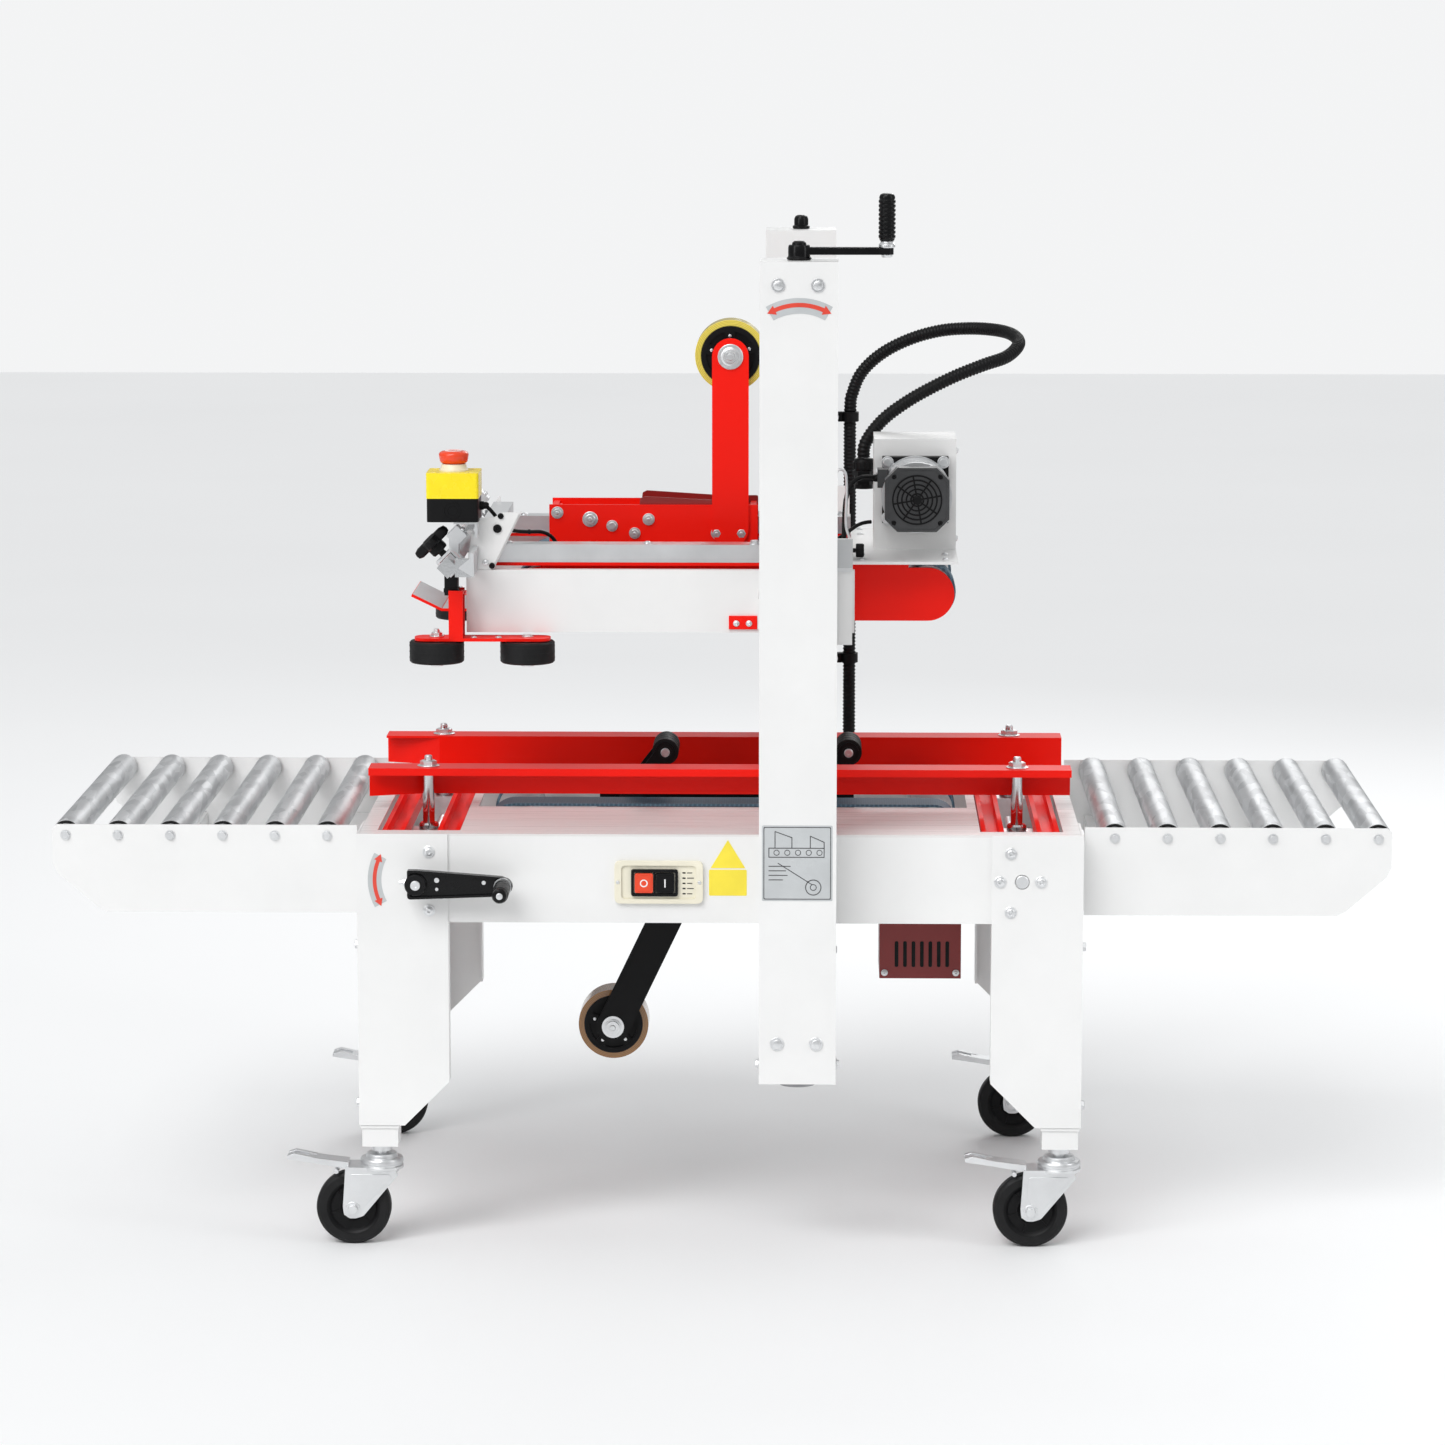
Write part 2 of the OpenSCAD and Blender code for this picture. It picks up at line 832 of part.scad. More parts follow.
// belt guard plate with a round end, shorter than the belt's own turn
module guard_outline() {
    len = belt_x1 - belt_x0;
    translate([0, -3])
        link_outline(len + 1, belt_turn_r - 3);
    square([len - 25, belt_turn_r]);
}

module head_covers() {
    color("white") {
        front_and_rear() {
            block([-341, 178], [-218, -215], [815, 899]);
            block([-341, 178], [-215, -203], [896, 899]);
            block([-341, 178], [-215, -203], [815, 818]);
            block([-341, -338], [-215, -190], [818, 896]);
        }
        difference() {
            union() {
                block([175, 317], [-200, 200], [905, 909]);
                block([205, 317], [-60, 50], [909, 1060]);
            }
            block([208, 314], [-57, 47], [909, 1057]);
            block([228, 310], [26, 40], [904, 910]);
            rod_y(44, 261, [-61, -56], 992.5);
        }
    }
    color("red") {
        front_and_rear()
            link_along_y([belt_x0, belt_z], [belt_x1, belt_z], [-152, -149])
                guard_outline();
        along_y([-71, 71])
            polygon([[-341, 824], [-386, 824], [-427.5, 844], [-426, 847.5], [-385.2, 827.5], [-341, 827.5]]);
        block([10, 48], [-221, -218], [820, 838]);
        block([-341, -337], [-71, 71], [823, 868]);
    }
    conduit_gland();
}

module conduit_gland() {
    color("#202020") {
        rod_z(13, 192, 62, [980, 1021.5]);
        block([182, 205], [36, 76], [992, 998]);
    }
}

module upper_drive_unit() {
    motor = [261, 992.5];
    color("#404040") {
        difference() {
            rod_y(43, motor[0], [-182, -40], motor[1]);
            rod_y(30, motor[0], [-183, -176], motor[1]);
        }
        along_y([-80, -61])
            translate(motor)
                square(90, center = true);
        along_y([-205, -178])
            translate(motor)
                intersection() {
                    square(86, center = true);
                    rotate(45)
                        square(98, center = true);
                }
        block([225, 297], [-40, 26], [945, 1040]);
        chain_loop([261, 970], [belt_x1, belt_z], 22, [30, 36]);
    }
    color("silver") {
        belt_pulleys(belt_x0, belt_x1, belt_z, belt_turn_r, [-144, -94], 148);
        rod_y(9, 261, [26, 38], 970);
    }
    color("#202020")
        swept_tube(motor_cable_route, motor_cable_r, 8, 2);
}

module upper_belts() {
    color("#5f7f95")
        front_and_rear()
            belt_loop(belt_x0, belt_x1, belt_z, belt_turn_r, [-146, -92]);
}

module upper_cartridge_frame() {
    y = frame_plate_y + 4;
    color("red") {
        cartridge_plate([-239, 46], [908, 968]);
        link_along_y([up_reel[0], 935], up_reel, [-y - 4, -y])
            link_outline(up_reel[1] - 935, 25);
        for (x = [-236, 36])
            block([x, x + 8], [-frame_plate_y, frame_plate_y], [945, 965]);
    }
    color("silver") {
        for (p = [[-228, 957], [-153, 939], [-103, 948], [24, 929]])
            rod_y(5, p[0], [-y - 4, y + 4], p[1]);
        for (a = up_arms)
            rod_y(7, a[0][0], [-y + 1, y - 1], a[0][1]);
        rod_y(reel_axle_r, up_reel[0], [-y, 24], up_reel[1]);
        rod_y(18, up_reel[0], [24, 27], up_reel[1]);
        rod_y(10, up_reel[0], [-y - 12, -y - 4], up_reel[1]);
    }
}

module estop_box() {
    x = [estop_x - 35, estop_x + 35];
    y = [-245, -175];
    color("#202020")
        block(x, y, [965.5, 997]);
    color("yellow")
        difference() {
            union() {
                block(x, y, [997, 1031]);
                rod_z(19, estop_x, -210, [1031, 1035]);
            }
            rod_z(14 + gap, estop_x, -210, [1007, 1042]);
        }
    color("silver") {
        block([-356, -324], [-240, -180], [962.5, 965.5]);
        block([-328, -324], [-240, -180], [944 + 2 * gap, 962.5]);
    }
    color("#202020")
        swept_tube(estop_cable_route, estop_cable_r, 8, 2);
}

module estop_button() {
    color("red")
        translate([estop_x, -210, 0])
            rotate_extrude()
                polygon([[0, 1018], [14, 1018], [14, 1041], [18, 1043], [20, 1052], [19, 1057],
                         [16, 1059], [0, 1059]]);
}

// ---------- press rollers at the infeed ----------

module press_bracket() {
    y = [-press_y - 20, -press_y + 20];
    clamp_y = [-press_y - 13, -press_y + 13];
    color("red") {
        block([-410, -228], y, [press_plate_z, press_plate_z + 4]);
        block([-363, -344], y, [press_plate_z + 4, 874]);
    }
    color("#202020")
        block([-369, -351], clamp_y, [866, 894]);
    color("silver") {
        difference() {
            translate([bar_x, -press_y, bar_z])
                rotate([0, 45, 0])
                    cube([28, 32, 28], center = true);
            translate([bar_x, -press_y, bar_z])
                rotate([0, 45, 0])
                    cube([2 * (bar_half + gap), 40, 2 * (bar_half + gap)], center = true);
        }
        along_y(clamp_y)
            polygon([[-366, 947], [-352, 961], [-338, 947], [-350, 935], [-350, 921.5], [-362, 927],
                     [-362, 943]]);
    }
    color("#202020")
        translate([bar_x, -press_y, bar_z])
            rotate([0, -45, 0]) {
                rod_z(5, 0, 0, [12, 32]);
                rod_z(28, 0, 0, [31, 44]);
            }
    color("silver")
        for (i = [0, 1]) {
            rod_z(axle_r, press_xs[i], -press_y, [press_z0 - 2, press_plate_z]);
            rod_z(9, press_xs[i], -press_y, [press_z0 - 5, press_z0 - 2]);
            rod_z(7, press_xs[i], -press_y, [press_plate_z + 4, press_plate_z + press_bolt_h[i]]);
        }
}

module front_press_bracket() { press_bracket(); }

module rear_press_bracket() {
    mirror([0, 1, 0])
        press_bracket();
}

module press_roller(i, side) {
    r = press_r;
    h = 29;
    color("#202020")
        translate([press_xs[i], side * press_y, press_z0])
            rotate_extrude()
                polygon([[axle_r + fit, 0], [r - 2, 0], [r, 2], [r, h - 2], [r - 2, h], [axle_r + fit, h]]);
}

module front_press_roller_1() { press_roller(0, -1); }
module front_press_roller_2() { press_roller(1, -1); }
module rear_press_roller_1() { press_roller(0, 1); }
module rear_press_roller_2() { press_roller(1, 1); }

// ---------- switches ----------

button_z = [485, 511];
stop_x = [-112, -88];
start_x = [-84, -60];

module switch_plate() {
    color("#e8e0d0")
        difference() {
            block([-139, -22], [-web_y - 6, -web_y], [470, 527]);
            for (x = [stop_x, start_x])
                block([x[0] - gap, x[1] + gap], [-web_y - 7, -web_y - 0.5], [button_z[0] - gap, button_z[1] + gap]);
        }
}

module push_button(x) {
    block(x, [-web_y - 10, -web_y - 4], button_z);
}

module stop_button() {
    color("red")
        push_button(stop_x);
}

module start_button() {
    color("#202020")
        push_button(start_x);
}

// ---------- conduit from the bed to the head ----------

module conduit() {
    color("#202020")
        swept_tube(conduit_route, conduit_r, 10, 2);
}

bed_frame();
bed_top();
outer_legs();
columns();
table_frames();
frame_bolts();
guide_tracks();
under_bed_drives();
lower_belts();
lower_cartridge_frame();
switch_plate();
head_frame();
head_covers();
upper_drive_unit();
upper_belts();
upper_cartridge_frame();
estop_box();
leg_tubes();
front_left_caster_fork();
front_right_caster_fork();
rear_left_caster_fork();
rear_right_caster_fork();
front_left_wheel();
front_right_wheel();
rear_left_wheel();
rear_right_wheel();
infeed_roller_1();
infeed_roller_2();
infeed_roller_3();
infeed_roller_4();
infeed_roller_5();
infeed_roller_6();
outfeed_roller_1();
outfeed_roller_2();
outfeed_roller_3();
outfeed_roller_4();
outfeed_roller_5();
outfeed_roller_6();
front_guide_rail();
rear_guide_rail();
width_crank();
right_width_screw();
lift_crank();
rear_lift_screw();
front_press_bracket();
rear_press_bracket();
front_press_roller_1();
front_press_roller_2();
rear_press_roller_1();
rear_press_roller_2();
upper_infeed_arm();
upper_outfeed_arm();
lower_infeed_arm();
lower_outfeed_arm();
upper_tape_roll();
lower_tape_roll();
estop_button();
start_button();
stop_button();
conduit();
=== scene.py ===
import math

import bmesh
import bpy
from mathutils import Matrix, Vector


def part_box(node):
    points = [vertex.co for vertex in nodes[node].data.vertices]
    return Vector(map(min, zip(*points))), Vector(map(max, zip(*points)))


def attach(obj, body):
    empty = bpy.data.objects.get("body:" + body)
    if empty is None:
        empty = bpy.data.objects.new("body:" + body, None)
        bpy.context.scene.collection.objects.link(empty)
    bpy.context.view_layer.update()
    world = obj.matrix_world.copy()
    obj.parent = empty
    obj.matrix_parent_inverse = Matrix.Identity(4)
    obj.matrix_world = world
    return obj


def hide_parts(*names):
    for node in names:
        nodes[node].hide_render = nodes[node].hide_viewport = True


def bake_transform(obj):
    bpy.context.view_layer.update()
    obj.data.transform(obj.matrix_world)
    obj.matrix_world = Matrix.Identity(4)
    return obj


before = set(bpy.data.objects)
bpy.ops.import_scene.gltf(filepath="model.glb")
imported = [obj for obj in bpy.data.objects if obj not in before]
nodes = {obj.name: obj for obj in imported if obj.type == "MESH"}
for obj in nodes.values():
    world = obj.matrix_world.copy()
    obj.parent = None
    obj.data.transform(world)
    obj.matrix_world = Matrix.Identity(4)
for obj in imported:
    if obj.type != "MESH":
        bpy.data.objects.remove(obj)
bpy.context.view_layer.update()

MM = 0.001

# Places that several pieces share, in millimetres.
TUBE_X, TUBE_Y = 453.5, 313.5                 # leg tubes
WHEEL_TRAIL, WHEEL_Z = 38, 50                 # caster wheel from its swivel, and above the floor
HUB_R = 34
ROLLER_X = [525 + 70 * i for i in range(6)]   # table rollers
ROLLER_Z = 549.4
BED_FACE = 341                                # outer face of the bed's front and rear
COLUMN_X, COLUMN_Y, COLUMN_FACE = 103.5, 384, 426
GUIDE_X, GUIDE_Y, CROSS_Z = 400, 142, 500     # guide posts and the cross screws below them
PRESS_BAR_X, PRESS_BAR_Z, PRESS_Y = -360, 911, 227
PRESS_ROLLER_X = (-380.5, -259)
REEL_Y = -6
UPPER_REEL, LOWER_REEL = (9, 1171), (-154, 239)
CARTRIDGE_FACE = 45
ESTOP_X, ESTOP_Y = -357, -210
UPPER_MOTOR, LOWER_MOTOR = (261, 992.5), (270, 375)
HOSE_FOOT, HOSE_GLAND = (175, 370), (192, 62)  # where the conduit leaves the bed and enters the head
SIDES = (("front", -1), ("rear", 1))

# ---------------------------------------------------------------- camera and light


def aim(name, data, direction, place=(0, 0, 0)):
    """Adds a camera or a lamp that looks along a direction."""
    thing = bpy.data.objects.new(name, data)
    bpy.context.scene.collection.objects.link(thing)
    thing.location = place
    thing.rotation_mode = "QUATERNION"
    thing.rotation_quaternion = Vector(direction).to_track_quat("-Z", "Y")
    return thing


def look_from(place, direction, lens):
    camera = aim("camera", bpy.data.cameras.new("camera"), direction, place)
    camera.data.sensor_width = 36
    camera.data.lens = lens
    camera.data.clip_end = 60
    bpy.context.scene.camera = camera


def soft_light(name, place, target, size, power):
    light = bpy.data.lights.new(name, "AREA")
    light.shape = "RECTANGLE"
    light.size, light.size_y = size
    light.energy = power
    aim(name, light, Vector(target) - Vector(place), place)


def broad_sun(direction, strength, spread):
    light = bpy.data.lights.new("sky_panel", "SUN")
    light.energy = strength
    light.angle = math.radians(spread)
    aim("sky_panel", light, direction)


def studio():
    """A pale surround: brighter overhead than at the horizon, and plain where it is seen directly."""
    scene = bpy.context.scene
    scene.view_settings.view_transform = "Standard"
    world = bpy.data.worlds.new("studio")
    scene.world = world
    world.use_nodes = True
    tree = world.node_tree
    lit = tree.nodes["Background"]
    seen = tree.nodes.new("ShaderNodeBackground")
    seen.inputs["Color"].default_value = (0.90, 0.905, 0.91, 1)
    seen.inputs["Strength"].default_value = 1.0
    lit.inputs["Strength"].default_value = 1.0
    place = tree.nodes.new("ShaderNodeTexCoord")
    split = tree.nodes.new("ShaderNodeSeparateXYZ")
    ramp = tree.nodes.new("ShaderNodeValToRGB")
    ramp.color_ramp.elements[0].position = 0.0
    ramp.color_ramp.elements[0].color = (0.20, 0.205, 0.21, 1)
    ramp.color_ramp.elements[1].position = 0.75
    ramp.color_ramp.elements[1].color = (0.66, 0.665, 0.67, 1)
    middle = ramp.color_ramp.elements.new(0.22)
    middle.color = (0.44, 0.445, 0.45, 1)
    tree.links.new(place.outputs["Generated"], split.inputs["Vector"])
    tree.links.new(split.outputs["Z"], ramp.inputs["Fac"])
    tree.links.new(ramp.outputs["Color"], lit.inputs["Color"])
    path = tree.nodes.new("ShaderNodeLightPath")
    mix = tree.nodes.new("ShaderNodeMixShader")
    tree.links.new(path.outputs["Is Camera Ray"], mix.inputs["Fac"])
    tree.links.new(lit.outputs["Background"], mix.inputs[1])
    tree.links.new(seen.outputs["Background"], mix.inputs[2])
    tree.links.new(mix.outputs["Shader"], tree.nodes["World Output"].inputs["Surface"])
    broad_sun((0.35, 0.80, -0.88), 1.5, 35)
    soft_light("left_panel", (-2.6, -2.6, 2.4), (0, 0, 0.8), (0.8, 2.2), 26)
    soft_light("right_panel", (3.0, -1.6, 2.2), (0, 0, 0.8), (0.6, 2.4), 16)
    soft_light("back_panel", (1.2, 3.4, 2.6), (0, 0, 0.8), (2.4, 1.2), 34)


look_from((0.1275, -6.7315, 1.6946), (-0.01934, 1, -0.1537), 122.42)
studio()

# ---------------------------------------------------------------- materials


class Look:
    """A material under construction: a principled shader and the nodes that feed it."""

    def __init__(self, name, colour, rough, metal=0.0):
        self.material = bpy.data.materials.new(name)
        self.material.use_nodes = True
        self.tree = self.material.node_tree
        self.shader = self.tree.nodes["Principled BSDF"]
        self.colour = (*colour, 1)
        self.shader.inputs["Base Color"].default_value = self.colour
        self.shader.inputs["Roughness"].default_value = rough
        self.shader.inputs["Metallic"].default_value = metal
        self.material.diffuse_color = self.colour
        self.place = self.node("ShaderNodeTexCoord").outputs["Object"]

    def node(self, kind, **settings):
        made = self.tree.nodes.new(kind)
        for key, value in settings.items():
            setattr(made, key, value)
        return made

    def link(self, source, socket):
        self.tree.links.new(source, socket)

    def stretched(self, scale, shift=(0, 0, 0)):
        mapping = self.node("ShaderNodeMapping")
        mapping.inputs["Scale"].default_value = scale
        mapping.inputs["Location"].default_value = shift
        self.link(self.place, mapping.inputs["Vector"])
        return mapping.outputs["Vector"]

    def noise(self, scale, detail=3.0, rough=0.55, vector=None):
        made = self.node("ShaderNodeTexNoise")
        made.inputs["Scale"].default_value = scale
        made.inputs["Detail"].default_value = detail
        made.inputs["Roughness"].default_value = rough
        self.link(vector or self.place, made.inputs["Vector"])
        return made.outputs["Fac"]

    def span(self, value, low, high, start=0.3, end=0.7):
        made = self.node("ShaderNodeMapRange")
        made.inputs["From Min"].default_value = start
        made.inputs["From Max"].default_value = end
        made.inputs["To Min"].default_value = low
        made.inputs["To Max"].default_value = high
        self.link(value, made.inputs["Value"])
        return made.outputs["Result"]

    def mix(self, factor, first, second):
        made = self.node("ShaderNodeMix", data_type="RGBA")
        made.inputs[6].default_value = (*first, 1)
        made.inputs[7].default_value = (*second, 1)
        self.link(factor, made.inputs[0])
        return made.outputs[2]

    def tint(self, factor, first, second):
        self.link(self.mix(factor, first, second), self.shader.inputs["Base Color"])
        return self

    def vary_rough(self, value, low, high):
        self.link(self.span(value, low, high), self.shader.inputs["Roughness"])
        return self

    def dull(self, level):
        """Lowers the mirror part, so that a deep colour stays deep in a white studio."""
        self.shader.inputs["Specular IOR Level"].default_value = level
        return self

    def bump(self, height, distance, strength=1.0):
        made = self.node("ShaderNodeBump")
        made.inputs["Strength"].default_value = strength
        made.inputs["Distance"].default_value = distance
        self.link(height, made.inputs["Height"])
        previous = self.shader.inputs["Normal"].links
        if previous:
            self.link(previous[0].from_socket, made.inputs["Normal"])
        self.link(made.outputs["Normal"], self.shader.inputs["Normal"])
        return self

    def coat(self, weight, rough=0.15):
        self.shader.inputs["Coat Weight"].default_value = weight
        self.shader.inputs["Coat Roughness"].default_value = rough
        return self


def shade(colour, factor):
    return tuple(min(1.0, c * factor) for c in colour)


def powder_coat(name, colour, rough=0.36, gloss=0.2, mirror=0.5):
    """Baked powder coat: fine orange peel, a little dust and slight change of gloss."""
    look = Look(name, colour, rough)
    look.tint(look.span(look.noise(7, 5), 0, 1), shade(colour, 0.965), shade(colour, 1.02))
    look.vary_rough(look.noise(9, 3), rough - 0.03, rough + 0.05)
    look.bump(look.noise(1100, 2), 0.00004, 0.3)
    return look.dull(mirror).coat(gloss, 0.22).material


def worn_coat(name, colour, rough=0.30):
    """Powder coat rubbed by cartons: long faint streaks along X."""
    look = Look(name, colour, rough)
    streaks = look.noise(1.0, 5, 0.6, look.stretched((3, 260, 3)))
    look.tint(look.span(streaks, 0, 1, 0.42, 0.75), shade(colour, 1.0), shade(colour, 0.90))
    look.vary_rough(streaks, rough - 0.08, rough + 0.14)
    look.bump(streaks, 0.00003, 0.3)
    return look.material


def plated(name, colour, rough, grain=(400, 400, 400), streak=0.10):
    """Metal with a directional grain in its gloss."""
    look = Look(name, colour, rough, 1.0)
    lines = look.noise(1.0, 4, vector=look.stretched(grain))
    look.tint(look.span(look.noise(14, 4), 0, 1), shade(colour, 0.90), shade(colour, 1.05))
    look.vary_rough(lines, rough - streak * 0.5, rough + streak)
    look.bump(lines, 0.00003, 0.4)
    return look.material


def galvanised(name):
    """Zinc spangle drawn out along the tube."""
    look = Look(name, (0.60, 0.61, 0.62), 0.4, 0.85)
    cells = look.node("ShaderNodeTexVoronoi")
    cells.inputs["Scale"].default_value = 1.0
    look.link(look.stretched((90, 26, 90)), cells.inputs["Vector"])
    grey = look.node("ShaderNodeSeparateColor")
    look.link(cells.outputs["Color"], grey.inputs["Color"])
    look.tint(grey.outputs["Red"], (0.50, 0.51, 0.52), (0.68, 0.69, 0.70))
    look.link(look.span(grey.outputs["Green"], 0.34, 0.5, 0, 1), look.shader.inputs["Roughness"])
    look.bump(look.noise(1.0, 3, vector=look.stretched((900, 30, 900))), 0.00005, 0.3)
    return look.material


def moulded(name, colour, rough=0.4, grain=700, depth=0.00006, mirror=0.5):
    """Injection-moulded plastic with a fine spark-eroded texture."""
    look = Look(name, colour, rough)
    look.tint(look.span(look.noise(18, 3), 0, 1), shade(colour, 0.93), shade(colour, 1.06))
    look.vary_rough(look.noise(60, 4), rough - 0.05, rough + 0.07)
    look.bump(look.noise(grain, 2), depth, 0.5)
    return look.dull(mirror).material


def hammered(name, colour):
    """Hammer-finish enamel on cast metal."""
    look = Look(name, colour, 0.38)
    cells = look.node("ShaderNodeTexVoronoi", feature="SMOOTH_F1")
    cells.inputs["Scale"].default_value = 260
    look.link(look.place, cells.inputs["Vector"])
    look.bump(cells.outputs["Distance"], 0.0003, 0.5)
    look.tint(look.span(look.noise(30, 3), 0, 1), shade(colour, 0.75), shade(colour, 1.25))
    return look.coat(0.3).material


def woven_belt(name):
    """Rubber-faced fabric belt: a fine diamond grip, lighter on its crests and darker in its hollows."""
    look = Look(name, (0.075, 0.145, 0.20), 0.62)
    heights = []
    for turn in (45, -45):
        turned = look.node("ShaderNodeMapping")
        turned.inputs["Rotation"].default_value = (0, 0, math.radians(turn))
        look.link(look.place, turned.inputs["Vector"])
        wave = look.node("ShaderNodeTexWave", wave_profile="SIN")
        wave.inputs["Scale"].default_value = 70
        look.link(turned.outputs["Vector"], wave.inputs["Vector"])
        heights.append(wave.outputs["Fac"])
    both = look.node("ShaderNodeMath", operation="MULTIPLY")
    look.link(heights[0], both.inputs[0])
    look.link(heights[1], both.inputs[1])
    look.tint(both.outputs[0], (0.06, 0.12, 0.17), (0.13, 0.235, 0.31))
    look.bump(both.outputs[0], 0.0006, 0.6)
    look.bump(look.noise(900, 2), 0.0001, 0.3)
    return look.material


def rubber(name, colour, rough=0.55):
    look = Look(name, colour, rough)
    look.tint(look.span(look.noise(40, 5), 0, 1), shade(colour, 0.8), shade(colour, 1.5))
    look.vary_rough(look.noise(90, 4), rough - 0.08, rough + 0.1)
    look.bump(look.noise(500, 3), 0.0001, 0.4)
    return look.dull(0.25).material


def wound_film(name, colour, centre):
    """The edge of a roll of tape: thin rings round the reel's axis."""
    look = Look(name, colour, 0.22)
    rings = look.node("ShaderNodeTexWave", wave_type="RINGS", rings_direction="Y")
    rings.inputs["Scale"].default_value = 160
    rings.inputs["Distortion"].default_value = 0.6
    look.link(look.stretched((1, 1, 1), tuple(-c for c in centre)), rings.inputs["Vector"])
    look.tint(rings.outputs["Fac"], shade(colour, 0.62), shade(colour, 1.15))
    look.bump(rings.outputs["Fac"], 0.0001, 0.4)
    return look.coat(0.5, 0.1).material


WHITE = powder_coat("white_powder_coat", (0.80, 0.80, 0.795))
BED_WHITE = worn_coat("bed_powder_coat", (0.76, 0.745, 0.735))
RED = powder_coat("red_powder_coat", (0.90, 0.008, 0.002), 0.34, 0.02, 0.2)
# Red paint darkened to stand for painted shade, for red parts that lie in shadow: the drive cover under the
# bed and the plates inside the upper cartridge.
SHADED_RED = powder_coat("red_powder_coat_painted_shade", (0.23, 0.008, 0.007), 0.38)
BLACK = powder_coat("black_powder_coat", (0.004, 0.004, 0.0045), 0.42, 0.0, 0.18)
GREY = powder_coat("grey_powder_coat", (0.52, 0.53, 0.54), 0.40)
ZINC = plated("zinc_plate", (0.80, 0.81, 0.82), 0.36)
CHROME = plated("hard_chrome", (0.64, 0.65, 0.66), 0.10, streak=0.05)
STEEL = plated("oiled_steel", (0.33, 0.33, 0.34), 0.34)
ALUMINIUM = plated("extruded_aluminium", (0.80, 0.81, 0.82), 0.33, grain=(8, 900, 900))
CAST = plated("cast_aluminium", (0.74, 0.75, 0.76), 0.46, grain=(300, 300, 300), streak=0.06)
GALVANISED = galvanised("galvanised_tube")
MOTOR = hammered("motor_enamel", (0.036, 0.037, 0.039))
BELT = woven_belt("belt_grip")
TYRE = rubber("wheel_rubber", (0.007, 0.007, 0.0075))
ROLLER_RUBBER = rubber("roller_rubber", (0.006, 0.006, 0.0065), 0.52)
BLACK_PLASTIC = moulded("black_nylon", (0.004, 0.004, 0.0045), 0.44, mirror=0.18)
KNOB_PLASTIC = moulded("knob_phenolic", (0.004, 0.004, 0.0045), 0.26, 300, mirror=0.22)
YELLOW_PLASTIC = moulded("yellow_polycarbonate", (0.92, 0.73, 0.012), 0.26, 500)
RED_PLASTIC = moulded("red_polycarbonate", (0.78, 0.055, 0.012), 0.22, 400)
CREAM_PLASTIC = moulded("cream_abs", (0.80, 0.76, 0.62), 0.36)
MARK = moulded("pale_print", (0.85, 0.85, 0.85), 0.5)
GREY_LABEL = moulded("grey_foil_label", (0.50, 0.52, 0.53), 0.34)
RED_LABEL = moulded("red_vinyl", (0.72, 0.06, 0.035), 0.4)
YELLOW_LABEL = moulded("yellow_vinyl", (0.88, 0.72, 0.05), 0.4)
DARK_PRINT = moulded("dark_print", (0.06, 0.06, 0.065), 0.5)

# ---------------------------------------------------------------- shape building


def axis_frame(origin, direction):
    """Matrix whose local Z points along direction, from origin in millimetres."""
    turn = Vector(direction).to_track_quat("Z", "Y").to_matrix().to_4x4()
    return Matrix.Translation(Vector(origin)) @ turn


def upright(x, y, z=0):
    """Frame whose local Z points up."""
    return axis_frame((x, y, z), (0, 0, 1))


ALONG = {"x": Matrix(((0, 0, 1, 0), (1, 0, 0, 0), (0, 1, 0, 0), (0, 0, 0, 1))),
         "y": Matrix(((1, 0, 0, 0), (0, 0, 1, 0), (0, 1, 0, 0), (0, 0, 0, 1))),
         "z": Matrix.Identity(4)}


def plane_frame(axis, origin=(0, 0, 0)):
    """Local X and Y span the plane across an axis: x gives Y and Z, y gives X and Z, z gives X and Y."""
    return Matrix.Translation(Vector(origin)) @ ALONG[axis]


